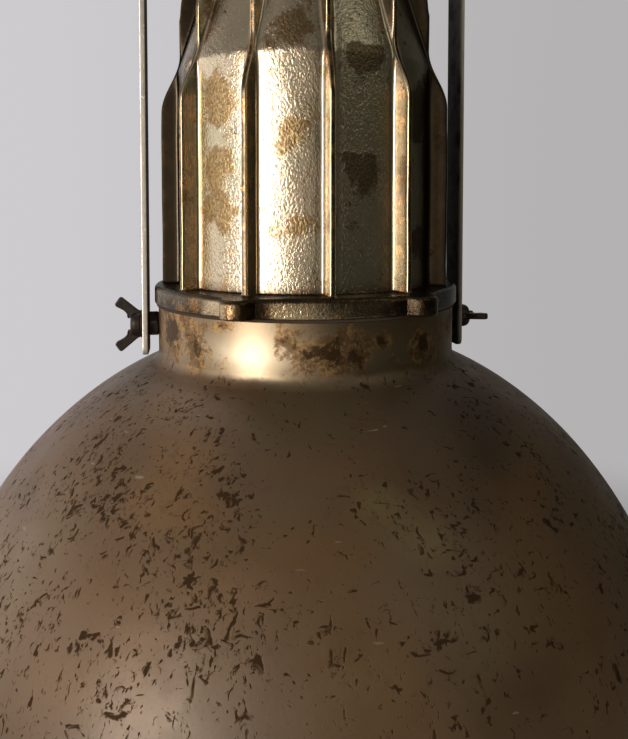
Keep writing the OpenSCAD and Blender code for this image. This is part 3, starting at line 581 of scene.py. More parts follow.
# Stretches of the flange: from angle, to angle, share. The first list darkens the flange: on the front it is painted
# shade on the right side, on the left edge and in the shadowed recess beside an ear, and behind it repeats as darker
# metal. The second raises worn gold: on the front it is a painted highlight where the flange catches the light, behind
# it worn gold.
FLANGE_SHADE = [(196, 224, 0.5), (242, 249, 0.9), (270, 290, 0.3), (290, 330, 0.95), (64, 72, 0.7), (84, 110, 0.5),
               (30, 46, 0.4), (126, 150, 0.5)]
FLANGE_RUB_AND_HIGHLIGHT = [(226, 238, 0.55), (251, 268, 0.75), (268, 286, 0.35), (345, 5, 0.5), (30, 50, 0.55), (74, 84, 0.5),
               (116, 140, 0.55), (150, 166, 0.4)]


def stretches(t, spans):
    """The sum of the shares of stretches (from angle, to angle, share) at the angles t."""
    return sum(share * sector(t, start, end, 2.5) for start, end, share in spans)


def housing_wear(piece):
    """Numbers for the finish: wear is 1 on the fins' two edges and on the flange's edges, and on the flange's worn
    stretches, which also carry a painted highlight; skin is 1 on the fins and the flange; dull is 1 where painted shade
    darkens whole sectors of fins, wall and flange; burnt is 1 where patches are painted darker as if in shade; fillet
    is 1 beside the fins, where the casting is smooth; grime is 1 where the wall meets the flange, a painted shadow; and
    patch is the largest of the patches' bell curves."""
    _, _, z, r, t = coordinates(piece)
    z = z - PIVOT_Z
    wall, tip = wall_radius(z), tip_radius(z)
    share = (r - wall) / np.maximum(tip - wall, 0.5)
    off = np.abs(np.mod(t + np.pi / FIN_COUNT, 2 * np.pi / FIN_COUNT) - np.pi / FIN_COUNT) * r
    upper = z > BODY_Z + 0.1
    wear = smoothstep(0.86, 0.96, share) * smoothstep(TIP_HALF - 0.75, TIP_HALF - 0.3, off) * upper
    rim = smoothstep(FLANGE_R - 3, FLANGE_R - 0.5, r) * smoothstep(BODY_Z - 3.2, BODY_Z - 0.8, z) * ~upper
    dark = 0.62 * smoothstep(0.10, 0.26, share) + 0.38 * smoothstep(0.75, 0.95, share)
    # Painted shade: fins and wall from 158 to 194 and from 320 to 18 degrees, and half as much from 303 to 325, are
    # darkened as if unlit; below the body, so are the flange's upper edge and its listed shaded stretches
    dull = np.maximum(sector(t, 320, 18, 2) + sector(t, 158, 194, 3), 0.5 * sector(t, 303, 325, 1.5))
    ledge_shade = 0.9 * smoothstep(BODY_Z - 3.4, BODY_Z - 1.8, z)
    dull = np.where(upper, dull, np.maximum(np.maximum(dull, stretches(t, FLANGE_SHADE)), ledge_shade))
    # Painted highlight: on the front, the flange's worn gold stretches stand partly for light caught by the flange
    rubbed = stretches(t, FLANGE_RUB_AND_HIGHLIGHT) * ~upper
    # Painted shade: patches from 270 to 330 degrees, from 88 to 120, and all patches above the kink are darkened as if
    # in shade
    burnt = np.maximum(sector(t, 270, 330, 3), sector(t, 88, 120, 3))
    patch = bells(t, z, [(*spot, 1) for spot in PATCHES]).max(0)
    paint(piece, wear=np.maximum(np.maximum(wear, rim), rubbed) * (1 - 0.9 * dull),
          skin=np.maximum(dark * upper, z < BODY_Z + 0.3), dull=dull,
          burnt=np.maximum(burnt, 0.6 * smoothstep(KINK_Z - 1, KINK_Z + 1, z)),
          fillet=(1 - smoothstep(1.2, 3.4, off - ROOT_HALF)) * upper,
          # Painted shadow: a dark band at the foot of the wall, where it meets the flange
          grime=(1 - smoothstep(0.4, 2.6, z - BODY_Z)) * upper,
          patch=patch + 0.09 * sector(t, 216, 231, 3) * upper)


class LAMP_OT_housing(bpy.types.Operator):
    """Build the ribbed casting with its ears, spigot, pivot bosses and plate lugs"""

    bl_idname = "lamp.housing"
    bl_label = "Housing casting"

    def execute(self, context):
        piece = build("housing_casting", housing_shape(context.scene.lamp_sizes), "casting")
        boss = lathe([(0, BOSS_X, 0), (BOSS_R, BOSS_X, 1), (BOSS_R, SPIGOT_R - 2, 0), (0, SPIGOT_R - 2, 0)])
        lug_r, lug_z = WALL_R - WALL_T - 7, PLATE_LOW + 2
        lug = in_head(block((lug_r - 6, lug_r + 9), (-6, 6), (lug_z, lug_z + 12)))
        combine(piece, "UNION", *(at_bolt(boss, side) for side in SIDES.values()), *(spun(lug, a) for a in QUARTERS))
        ear_hole = cutter(EAR_HOLE_R, FLANGE_Z - 2, FLANGE_Z + EAR_HOLE_H)
        combine(piece, "DIFFERENCE", *bolt_holes(BOSS_X - 2, SPIGOT_R + 2),
                *(in_head(ear_hole, polar(EAR_PITCH, ear)) for ear in EAR_ANGLES))
        housing_wear(piece)
        place(piece, "head", "casting", "ribbed_housing")
        return {"FINISHED"}


# ---- the shade ----

def dome_side(inset, end, steps):
    """One side of the sheet: straight neck, concave shoulder arc, then the dome's large arc down to end."""
    curve = DOME_CURVE - inset
    top = math.degrees(math.atan2(NECK_END - DOME_Z, NECK_R + SHOULDER_R - DOME_X))
    low = math.degrees(math.asin((end - DOME_Z) / curve))
    neck = np.stack([np.full(9, NECK_R - inset), np.linspace(NECK_TOP - 0.3, NECK_END + 3, 9)], -1)
    bend = arc(NECK_R + SHOULDER_R, NECK_END, SHOULDER_R + inset, 180, 180 + top, 10)
    return np.vstack([neck, bend, arc(DOME_X, DOME_Z, curve, top, low, steps)[1:]])


def sheet_wave(points, depth):
    """Slow unevenness of spun sheet: waves round the dome that fade out at the neck and at the rim."""
    t, z = np.arctan2(points[:, 1], points[:, 0]), points[:, 2]
    fade = smoothstep(-25, -50, z) * smoothstep(DOME_END + 12, DOME_END + 45, z)
    wave = np.sin(7 * t + z / 23) + 0.6 * np.sin(13 * t - z / 15 + 2) + 0.8 * np.sin(z / 9 + 2 * np.sin(2 * t))
    scale = 1 - depth * fade * (1 + 0.4 * wave) / np.hypot(points[:, 0], points[:, 1])
    return points * np.stack([scale, scale, np.ones_like(scale)], -1)


class LAMP_OT_shade(bpy.types.Operator):
    """Build the spun dome, its rolled skirt and the gasket above the neck"""

    bl_idname = "lamp.shade"
    bl_label = "Shade"

    def execute(self, context):
        sizes = context.scene.lamp_sizes
        outer, inner = dome_side(0, DOME_END, 90), dome_side(SHEET_T, DOME_END - SHEET_T, 60)
        lip = SKIRT_OUT - LIP_IN
        neck_edge = [(NECK_R - 0.3, NECK_TOP), (NECK_R - SHEET_T + 0.3, NECK_TOP)]
        rim = [(lip, DOME_END - SHEET_T), (lip + 0.3, DOME_END - 0.9), (lip + 0.3, DOME_END - 0.3), (lip, DOME_END)]
        points, faces = turned(np.vstack([outer[::-1], neck_edge, inner, rim]), sizes.round_steps, closed=True)
        dome = build("dome", in_head((sheet_wave(points, sizes.sheet_wave / MM), faces)), "shade", "cream")
        combine(dome, "DIFFERENCE", *bolt_holes(NECK_R - 5, NECK_R + 4))
        finish_inside(dome)
        dome_wear(dome)
        place(dome, "head", "shade", "dome_shade")

        out = SKIRT_OUT - BEAD_IN
        lip = DOME_X + math.sqrt(DOME_CURVE ** 2 - (SKIRT_Z - SHEET_T - DOME_Z) ** 2) + 0.1
        open_angle = math.degrees(math.asin(SHEET_T / 2 / BEAD_R))
        roll = arc(out - SHEET_T / 2, SKIRT_LOW + BEAD_R, BEAD_R, 90 + open_angle, 450 - open_angle, 26)
        wall = rounded([(out, SKIRT_Z - 4, 0), (out, SKIRT_Z, 1.1), (lip, SKIRT_Z, 0.3),
                        (lip, SKIRT_Z - SHEET_T, 0.3), (out - SHEET_T, SKIRT_Z - SHEET_T, 0)], closed=False)
        skirt = in_head(turned(np.vstack([wall, roll]), sizes.round_steps, closed=True))
        dress("skirt", skirt, "skirt", "head", "rim_skirt")
        gasket = in_head(ring(SPIGOT_R + GAP, FLANGE_R - 1, NECK_TOP, FLANGE_Z, edge=0.2, steps=192))
        dress("neck_ring_gasket", gasket, "rubber", "head", "neck_gasket")
        return {"FINISHED"}


# Brown stains on the neck: angle, height, half width in degrees, half height, share (below 0 is a clean spot)
NECK_STAINS = [(254, 3, 5, 7, 0.6), (259, -3, 6, 9, 0.65), (269, -2, 8, 11, 1), (277, -3, 4, 8, 1), (206, 2, 9, 14, 1),
               (220, -3, 6, 9, 0.8), (232, 8, 6, 3, 1), (243, -1, 9, 9, -1), (287, 2, 3, 4, 1), (305, -2, 6, 7, 1),
               (328, 3, 5, 6, 1), (350, -4, 7, 7, 0.7), (12, 2, 6, 8, 1), (38, -3, 7, 7, 0.7), (62, 4, 4, 5, 1),
               (85, -5, 6, 6, 1), (112, 1, 7, 8, 0.7), (139, -3, 5, 6, 1), (160, 4, 6, 5, 1), (184, -3, 6, 7, 0.8)]

# Slow changes of the dome's brown: angle, height, half width in degrees, half height, share (below 0 is darker). The
# darker spots from 286 to 308 degrees are painted shade on the dome's right side.
PATINA_AND_SHADE = [(225, -30, 10, 9, 0.6), (236, -43, 9, 8, 0.7), (238, -58, 11, 9, 1.0), (273, -53, 5, 6, 0.9),
          (279, -65, 7, 9, 0.8), (308, -34, 16, 14, -0.7), (298, -49, 10, 10, -0.55), (291, -62, 7, 8, -0.4),
          (205, -73, 9, 9, -0.7), (252, -78, 9, 10, 0.5), (268, -100, 8, 12, 0.6), (232, -112, 9, 12, 0.6),
          (286, -112, 9, 12, -0.5), (322, -84, 12, 12, 0.6), (345, -120, 12, 14, -0.6), (12, -58, 12, 11, 0.7),
          (32, -96, 12, 14, -0.6), (62, -44, 10, 9, 0.8), (84, -74, 11, 11, -0.7), (104, -108, 12, 14, 0.7),
          (132, -52, 11, 11, 0.7), (150, -92, 12, 13, -0.6), (176, -118, 11, 14, 0.6), (188, -52, 9, 9, 0.6)]

# Where the dome's specks crowd, in the same way, and where they thin out
CROWDS = [(216, -44, 8, 13, 1.0), (226, -60, 8, 12, 1.0), (244, -50, 6, 11, 0.8), (233, -30, 12, 5, 0.8),
          (262, -44, 8, 10, -0.5), (280, -40, 9, 12, -0.6), (250, -90, 8, 14, 0.6), (285, -88, 8, 14, 0.6),
          (226, -110, 10, 14, 0.6), (312, -60, 9, 12, 0.5), (338, -100, 12, 16, 0.8), (8, -50, 12, 12, 0.8),
          (28, -80, 12, 14, -0.6), (55, -110, 12, 14, 0.8), (80, -50, 12, 12, 0.8), (110, -80, 12, 14, -0.5),
          (138, -66, 11, 14, 0.9), (165, -96, 12, 14, 0.8), (186, -70, 10, 14, -0.4)]


def dome_wear(dome):
    """Numbers for the shade's finish. Stain is the largest bell curve of the neck's stains, less that of a clean spot;
    rubbed is 1 where the neck is brightest, on the front left and less on the back right, a painted highlight on the
    worn metal; patina is above 0 on paler gold-brown and below 0 on darker brown, and on the dome's right side it is
    painted shade; crowd is above 0 where specks crowd."""
    _, _, z, _, t = coordinates(dome)
    z = z - PIVOT_Z
    stains = bells(t, z, NECK_STAINS)
    # Painted highlight: the neck is paler round 246 degrees, a little below its middle, where the light falls, and less
    # so round 70 degrees
    front, back = ((np.degrees(t) - angle + 180) % 360 - 180 for angle in (246, 70))
    neck_highlight = np.maximum(np.exp(-(front / 31) ** 2), 0.6 * np.exp(-(back / 40) ** 2))
    paint(dome, stain=stains.max(0) + stains.min(0),
          rubbed=neck_highlight * (0.2 + 0.8 * np.exp(-((z + 4) / 8.5) ** 2)),
          patina=sum(bells(t, z, PATINA_AND_SHADE)), crowd=sum(bells(t, z, CROWDS)))


def finish_inside(dome):
    """Gives the faces on the dome's hollow side its second finish: those that look towards its axis."""
    faces = dome.data.polygons
    centre, normal = np.empty((2, len(faces) * 3), np.float32)
    faces.foreach_get("center", centre)
    faces.foreach_get("normal", normal)
    centre, normal = centre.reshape(-1, 3), normal.reshape(-1, 3)
    outward = (centre[:, :2] * normal[:, :2]).sum(1)
    faces.foreach_set("material_index", (outward < 0).astype(np.int32))
    dome.data.update()


# ---- the yoke ----

def strap_path():
    """Middle line of the flat bar as (x, z) and the angles of its normals: up the right arm, round a bend
    (centre plus radius times (cos a, sin a)), across the top, round the other bend and down the left arm."""
    x, mid = ARM_IN + STRAP_T / 2, BEND_R + STRAP_T / 2
    top = YOKE_TOP - PIVOT_Z - STRAP_T / 2
    arm = np.concatenate([-ARM_END + np.array([0, 0.15, 0.4, 0.8, 1.4, 2.2, 3.1, 4.2]),
                          np.linspace(-9, 9, 10), np.linspace(14, top - mid, 24)])
    a = np.linspace(0, np.pi / 2, 14)[1:]
    half_x = np.concatenate([np.full(len(arm), x), x - mid + mid * np.cos(a), np.linspace(x - mid - 6, 8, 9)])
    half_z = np.concatenate([arm, top - mid + mid * np.sin(a), np.full(9, top)])
    turn = np.concatenate([np.zeros(len(arm)), a, np.full(9, np.pi / 2)])
    return (np.concatenate([half_x, [0], -half_x[::-1]]), np.concatenate([half_z, [top], half_z[::-1]]),
            np.concatenate([turn, [np.pi / 2], np.pi - turn[::-1]]))


class LAMP_OT_yoke(bpy.types.Operator):
    """Build the flat-bar yoke, with rounded arm ends and its three holes"""

    bl_idname = "lamp.yoke"
    bl_label = "Yoke"

    def execute(self, context):
        xs, zs, ns = strap_path()
        edge = context.scene.lamp_sizes.strap_edge / MM
        half_w, half_t, end_r, past_end = STRAP_W / 2, STRAP_T / 2, 4, zs + ARM_END
        end_half = half_w - end_r + np.sqrt(np.maximum(end_r ** 2 - (end_r - np.minimum(past_end, end_r)) ** 2, 0))
        half = np.where(past_end < end_r, end_half, half_w)
        thin = 1 - 0.45 * (1 - smoothstep(0, 0.5, past_end))
        corners = rounded([(half_t, -half_w, edge), (half_t, half_w, edge), (-half_t, half_w, edge),
                           (-half_t, -half_w, edge)])
        out = corners[None, :, 0] * thin[:, None]
        across = corners[None, :, 1] * (half / half_w)[:, None]
        rings = np.stack([xs[:, None] + out * np.cos(ns)[:, None], across,
                          zs[:, None] + out * np.sin(ns)[:, None]], -1)
        piece = build("yoke_bar", in_head(skin(rings)), "strap", sharp=25)
        if signed_volume(piece) < 0:
            piece.data.flip_normals()
        combine(piece, "DIFFERENCE", *bolt_holes(ARM_IN - 3, ARM_IN + 7),
                cutter(EYE_HOLE_R, YOKE_TOP - STRAP_T - 3, YOKE_TOP + 3), sharp=25)
        # Painted shade: the soot number blackens the right arm below the bend, less on its outer face, and the inner
        # face of the left arm
        x, y, z, _, _ = coordinates(piece)
        right = (x > 50) * smoothstep(PIVOT_Z + 252, PIVOT_Z + 205, z)
        left = (x < -50) * (x > -ARM_IN - 0.85 * edge)
        # narrow_side marks the bar's narrow sides, which the strap finish paints bright: a painted highlight on partly
        # worn metal
        paint(piece, narrow_side=smoothstep(half_w - 0.95 * edge, half_w - 0.4 * edge, np.abs(y)),
              soot=np.maximum(right * (1 - 0.6 * (x > ARM_IN + 1.5)), 0.9 * left))
        place(piece, "yoke", "strap", "yoke_strap")
        return {"FINISHED"}


def signed_volume(piece):
    """Volume of a closed mesh, negative where its faces point inwards."""
    work = bmesh.new()
    work.from_mesh(piece.data)
    volume = work.calc_volume(signed=True)
    work.free()
    return volume


# ---- pivot hardware ----

def bolt_shape(node, low):
    """A hexagon head, then the shank with a chamfered end: one stack of rings."""
    end, head_end = max(abs(reach(node, 0, 0)), abs(reach(node, 0, 1))), low + HEAD_H
    head = hex_rings(NUT_AF, low, head_end, chamfer_high=False)
    return skin(np.concatenate([head, circle_rings((BOLT_R, head_end), (BOLT_R, end - 0.6), (BOLT_R - 0.6, end))]))


def wing_shape(seat):
    """A wing nut: an extruded outline of two wings, thinner to the tips, and a turned hub through it."""
    half_span, reach_out, wing_w, wing_t, hub_h = 16.3, 15.0, 6.4, 4.3, 5.6
    slope = math.atan2(half_span - WASHER_R, reach_out - 3)
    half = rounded([(WASHER_R - 0.4, 0, 0.5), (WASHER_R - 0.1, 1.4, 0.8),
                    (half_span, reach_out - wing_w * math.sin(slope), 1.8),
                    (half_span - wing_w * math.cos(slope), reach_out, 1.8), (7.4, hub_h + 1.9, 4.0),
                    (0.5, hub_h + 0.3, 0)], closed=False)
    outline = np.vstack([half, half[::-1] * [-1, 1]])
    centre, layers = np.array([0, 3.0]), []
    for share, scale in ((-0.5, 0.97), (-0.36, 1.0), (0.36, 1.0), (0.5, 0.97)):
        edge = centre + (outline - centre) * scale
        taper = 1 - 0.22 * np.abs(edge[:, 0]) / half_span
        layers.append(np.column_stack([edge[:, 0], share * wing_t * taper, seat + edge[:, 1]]))
    hub = lathe([(0, seat, 0), (WASHER_R - 1, seat, 0.4), (WASHER_R - 1.2, seat + hub_h - 1.5, 1.5),
                 (5.6, seat + hub_h, 0.5), (0, seat + hub_h, 0)], 64)
    return together(skin(np.stack(layers)), hub)


class LAMP_OT_pivots(bpy.types.Operator):
    """Build the pivot bolts, spacer nuts, washers and wing nuts"""

    bl_idname = "lamp.pivots"
    bl_label = "Pivot hardware"

    def execute(self, context):
        wing_turns = {"left": 0.0, "right": math.radians(86)}
        inner, outer = BOSS_X - GAP - WASHER_T, ARM_IN + STRAP_T + GAP
        seat = outer + WASHER_T + GAP
        spacer = nut(NUT_AF, BOLT_R + CLOSE, NECK_R + GAP, NECK_R + GAP + NUT_H, math.radians(46))
        for name, side in SIDES.items():
            bolt = bolt_shape(name + "_pivot_bolt", inner - GAP - HEAD_H)
            dress(name + "_bolt", at_bolt(bolt, side), "dark_steel", "head", name + "_pivot_bolt")
            for label, x, body in (("inner", inner, "head"), ("outer", outer, name + "_washer")):
                washer = at_bolt(ring(BOLT_R + LOOSE, WASHER_R, x, x + WASHER_T), side)
                dress(f"{name}_{label}_flat_washer", washer, "dark_steel", body, f"{name}_{label}_washer")
            dress(name + "_spacer", at_bolt(spacer, side), "dark_steel", "head", name + "_spacer_nut")
            wing = build(name + "_wings", at_bolt(spun(wing_shape(seat), wing_turns[name]), side), "dark_steel")
            tidy(wing.data, outward=True)
            remeshed(wing, voxel=0.28, passes=3)
            combine(wing, "DIFFERENCE", at_bolt(cutter(BOLT_R + CLOSE, seat - 2, seat + 20), side), sharp=50)
            place(wing, name + "_wing", "dark_steel", name + "_wing_nut")
        return {"FINISHED"}


# ---- hanging eye ----

class LAMP_OT_eye(bpy.types.Operator):
    """Build the forged hanging eye, its washers and its lock nut"""

    bl_idname = "lamp.eye"
    bl_label = "Hanging eye"

    def execute(self, context):
        collar_z, yoke_low = YOKE_TOP + GAP + WASHER_T + GAP, YOKE_TOP - STRAP_T
        section = rounded([(EYE_R, -EYE_HALF, 1.0), (EYE_OUT, -EYE_HALF, 2.6), (EYE_OUT, EYE_HALF, 2.6),
                           (EYE_R, EYE_HALF, 1.0)], steps=6)
        neck = lathe([(0, collar_z, 0), (9, collar_z, 0.5), (9, collar_z + 4, 1.0), (5.2, collar_z + 6.5, 2),
                      (4, collar_z + 9, 0), (0, collar_z + 9, 0)], 64)
        eye = build("hanging_eye", about_y(turned(section, 128, closed=True)), "eye")
        tidy(eye.data, outward=True)
        combine(eye, "UNION", neck)
        remeshed(eye, voxel=0.42, passes=4)
        combine(eye, "UNION", rod(EYE_SHANK_R, reach("hang_eye", 2, 0), collar_z + 1, 0.6), sharp=50)
        place(eye, "eye", "eye", "hang_eye")

        washers = [ring(EYE_HOLE_R, EYE_WASHER_R, low, low + WASHER_T)
                   for low in (YOKE_TOP + GAP, yoke_low - GAP - WASHER_T)]
        dress("swivel_ring_washers", together(*washers), "dark_steel", "eye", "swivel_washers")
        lock = nut(LOCK_AF, EYE_SHANK_R + CLOSE, reach("eye_lock_nut", 2, 0), reach("eye_lock_nut", 2, 1))
        dress("swivel_lock_nut", lock, "dark_steel", "eye", "eye_lock_nut")
        return {"FINISHED"}


# ---- top cap and gland ----

class LAMP_OT_cap(bpy.types.Operator):
    """Build the top cap with its boss and slotted screws, and the cable gland"""

    bl_idname = "lamp.cap"
    bl_label = "Top cap and gland"

    def execute(self, context):
        top = CAP_Z + CAP_H
        seat, boss_r, hole_r, head_r, shank_r = top + 2, 14.5, 2.3, 3.6, 2
        disc = lathe([(0, CAP_Z, 0), (CAP_R, CAP_Z, 0.3), (CAP_R, top, 2.0), (CAP_R - 7, top, 0),
                      (CAP_R - 8, top - 0.5, 0.6), (0, top - 0.5, 0)], 192)
        cap = build("cap_casting", in_head(disc), "casting")
        boss = lathe([(0, CAP_Z + 1, 0), (boss_r, CAP_Z + 1, 0), (boss_r, seat, 0.7), (0, seat, 0)])
        combine(cap, "UNION", in_head(boss, GLAND_AT))
        spots = [polar(SCREW_PITCH, a) for a in QUARTERS]
        hole = cutter(hole_r, CAP_Z - 3, top + 6)
        combine(cap, "DIFFERENCE", in_head(cutter(GLAND_R + CLOSE, CAP_Z - 3, top + 6), GLAND_AT),
                *(in_head(hole, spot) for spot in spots))
        cap_wear(cap, PIVOT_Z + top - 1.0)
        place(cap, "head", "casting", "top_cap")

        head_z = top + GAP
        head = lathe([(0, head_z, 0), (head_r, head_z, 0.2), (head_r, top + 2.7, 0.5), (0, top + 2.7, 0)], 48)
        heads = build("cap_screw_heads", together(*(in_head(head, spot) for spot in spots)), "dark_steel")
        slot = block((-4, 4), (-0.5, 0.5), (top + 1.6, top + 4))
        combine(heads, "DIFFERENCE", *(in_head(spun(slot, 0.5 + 1.1 * k), spot) for k, spot in enumerate(spots)))
        shank = rod(shank_r, TOP_Z - 8, top + 0.4)
        combine(heads, "UNION", *(in_head(shank, spot) for spot in spots))
        place(heads, "head", "dark_steel", "cap_screws")
        gasket = in_head(ring(HOLE_R + 0.5, CAP_R, TOP_Z, CAP_Z, edge=0.15, steps=160))
        dress("cap_ring_gasket", gasket, "rubber", "head", "cap_gasket")

        low, body, nut_z = head_low("gland_body"), seat + WASHER_T, seat + WASHER_T + 5.1
        lower = [circle_rings((9.6, low), (GLAND_R, low + 0.4), (GLAND_R, body)), hex_rings(GLAND_AF, body, body + 5),
                 circle_rings((9.5, body + 5), (9.5, body + 9.6), (9.1, body + 10), (8.3, body + 10),
                              (8, body + 9.7), (8, low + 0.3), (8.3, low))]
        crown = [hex_rings(GLAND_AF, nut_z, nut_z + 9),
                 circle_rings(*(arc(0, 0, 1, 0, 90, 8) * [3.9, 4.0] + [7.3, nut_z + 9])),
                 circle_rings((5.6, nut_z + 13), (5.2, nut_z + 12.6), (5.2, nut_z + 5.4),
                              (9.55, nut_z + 5.1), (9.55, nut_z + 0.5), (9.9, nut_z))]
        for name, shape, finish, node in (
                ("gland_lower", skin(np.concatenate(lower), closed=True), "gland", "gland_body"),
                ("gland_fibre_washer", ring(GLAND_R + 0.3, 13, seat, body, 0.2), "rubber", "gland_washer"),
                ("gland_crown_nut", skin(np.concatenate(crown), closed=True), "gland", "gland_nut"),
                ("gland_rubber_seal", ring(4.2, 7.9, body, body + 9, 0.5), "rubber", "gland_seal")):
            dress(name, in_head(shape, GLAND_AT), finish, "head", node)
        return {"FINISHED"}


def cap_wear(cap, edge_z):
    """Numbers for the casting finish on the cap: wear along the outer edge, light grime and slow patches."""
    _, _, z, r, t = coordinates(cap)
    inside = r < TOP_R - 8
    paint(cap, wear=smoothstep(TOP_R - 4, TOP_R - 1, r) * smoothstep(edge_z - 1.5, edge_z, z),
          skin=0.6 * (r > TOP_R - 8), fillet=0 * r, dull=0.4 * inside, grime=0.35 * inside,
          patch=0.5 + 0.5 * np.sin(3 * t + r / 9))


# ---- lampholder and bulb ----

# Finishes of the CAD nodes that stay as they are
NODE_FINISH = {
    "gland_locknut": "gland", "holder_plate": "zinc", "plate_screws": "zinc", "holder_screws": "zinc",
    "screw_shell": "contact", "centre_contact": "contact", "terminal_block": "porcelain",
    "terminal_screws": "contact", "live_lead": "lead_brown", "neutral_lead": "lead_blue",
    "earth_lead": "lead_green", "earth_screw": "contact", "bulb_insulator": "black_glass",
    "bulb_stem": "bulb_glass", "bulb_filament": "tungsten",
}


class LAMP_OT_holder(bpy.types.Operator):
    """Build the porcelain lampholder, and finish the small parts around it"""

    bl_idname = "lamp.holder"
    bl_label = "Lampholder"

    def execute(self, context):
        low, top = head_low("lampholder"), head_top("lampholder")
        base, step, bore_r, sleeve_r, foot_r = top - 7.9, top - 15.9, 14, 20, 23
        porcelain = lathe([(0, base, 0), (bore_r, base, 0.8), (bore_r, low, 0.8), (sleeve_r, low, 1.6),
                           (sleeve_r, step, 1.2), (foot_r, step, 1.2), (foot_r, top, 1.4), (0, top, 0)], 128, 6)
        dress("porcelain_holder", in_head(porcelain), "porcelain", "head", "lampholder")
        for node, finish in NODE_FINISH.items():
            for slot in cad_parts[node].material_slots:
                slot.material = FINISH[finish]
        return {"FINISHED"}


class LAMP_OT_bulb(bpy.types.Operator):
    """Build the bulb's glass and its threaded cap"""

    bl_idname = "lamp.bulb"
    bl_label = "Bulb"

    def execute(self, context):
        cap_low, cap_r, glass_top = head_low("bulb_cap"), reach("bulb_cap", 0, 1), head_top("bulb_glass")
        glass_r, join_angle, neck_r = 30, 38, cap_r - 0.75
        centre = head_low("bulb_glass") + glass_r

        def side(inset):
            r, angle = glass_r - inset, math.radians(join_angle)
            join_r, join_z = r * math.cos(angle), centre + glass_r * math.sin(angle)
            t = np.arange(1, 17)[:, None] / 16
            blend = np.hstack([neck_r - inset + (join_r - neck_r + inset) * (1 - t) ** 1.5,
                               join_z + (cap_low - 2 - join_z) * t])
            return np.vstack([arc(0, centre, r, -90, join_angle, 32), blend, [[neck_r - inset, glass_top]]])

        glass = in_head(turned(np.vstack([side(0), side(1)[::-1]]), 128))
        dress("bulb_envelope", glass, "bulb_glass", "bulb", "bulb_glass")

        depth, pitch, shoulder, t = context.scene.lamp_sizes.thread_depth / MM, 3.6, cap_low + 23, whole_turn(96)
        z = np.linspace(cap_low, shoulder, 60)[:, None]
        fade = smoothstep(cap_low + 3.8, cap_low + 6, z) * (1 - smoothstep(shoulder - 2.5, shoulder, z))
        thread = circle(cap_r - depth / 2 * fade * (1 + np.cos(2 * np.pi * z / pitch - t)), t, z)
        cone = circle_rings((cap_r - 0.6, shoulder + 0.4), (9.5, shoulder + 2.7), (9, shoulder + 2.7),
                            (cap_r - 1.6, shoulder - 0.4), (cap_r - 1.5, cap_low + 5.5),
                            (cap_r - 0.6, cap_low + 4.6), (cap_r - 0.6, cap_low))
        cap = in_head(skin(np.concatenate([thread, cone]), closed=True))
        dress("bulb_screw_cap", cap, "nickel", "bulb", "bulb_cap")
        return {"FINISHED"}


# ---- finishes ----

class Value:
    """A number that a node gives: adding, subtracting or multiplying it adds the node that does so."""

    def __init__(self, nodes, socket):
        self.nodes, self.socket = nodes, socket

    def __add__(self, other):
        return self.nodes.calc("ADD", self, other)

    def __sub__(self, other):
        return self.nodes.calc("SUBTRACT", self, other)

    def __rsub__(self, other):
        return self.nodes.calc("SUBTRACT", other, self)

    def __mul__(self, other):
        return self.nodes.calc("MULTIPLY", self, other)


class Nodes:
    """A node tree being put together."""

    def __init__(self, tree):
        self.tree = tree

    def node(self, kind, settings=None, inputs=None):
        """Adds a node, with its own settings and its inputs as values or as other nodes' results."""
        node = self.tree.nodes.new("ShaderNode" + kind)
        for key, value in (settings or {}).items():
            setattr(node, key, value)
        for key, value in (inputs or {}).items():
            self.join(node.inputs[key], value)
        return node

    def value(self, output, *node):
        """One output of a new node."""
        return Value(self, self.node(*node).outputs[output])

    def join(self, socket, value):
        """Links a socket, or sets its value."""
        value = getattr(value, "socket", value)
        if isinstance(value, bpy.types.NodeSocket):
            self.tree.links.new(value, socket)
        else:
            socket.default_value = (*value, 1.0) if socket.type == "RGBA" else value

    def calc(self, how, a, b, clamp=False):
        """One arithmetic step."""
        return self.value(0, "Math", {"operation": how, "use_clamp": clamp}, {0: a, 1: b})

    def step(self, value, low, high, out_low=0.0, out_high=1.0):
        """Smooth change from out_low to out_high while value goes from low to high."""
        return self.value(0, "MapRange", {"interpolation_type": "SMOOTHSTEP"},
                          {"Value": value, "From Min": low, "From Max": high, "To Min": out_low, "To Max": out_high})

    def mix(self, share, a, b):
        """Colour a, changed to b by share."""
        return self.value(2, "Mix", {"data_type": "RGBA"}, {0: share, 6: a, 7: b})

    def blend(self, share, a, b):
        """Number a, changed to b by share."""
        return self.value(0, "Mix", {"data_type": "FLOAT"}, {0: share, 2: a, 3: b})


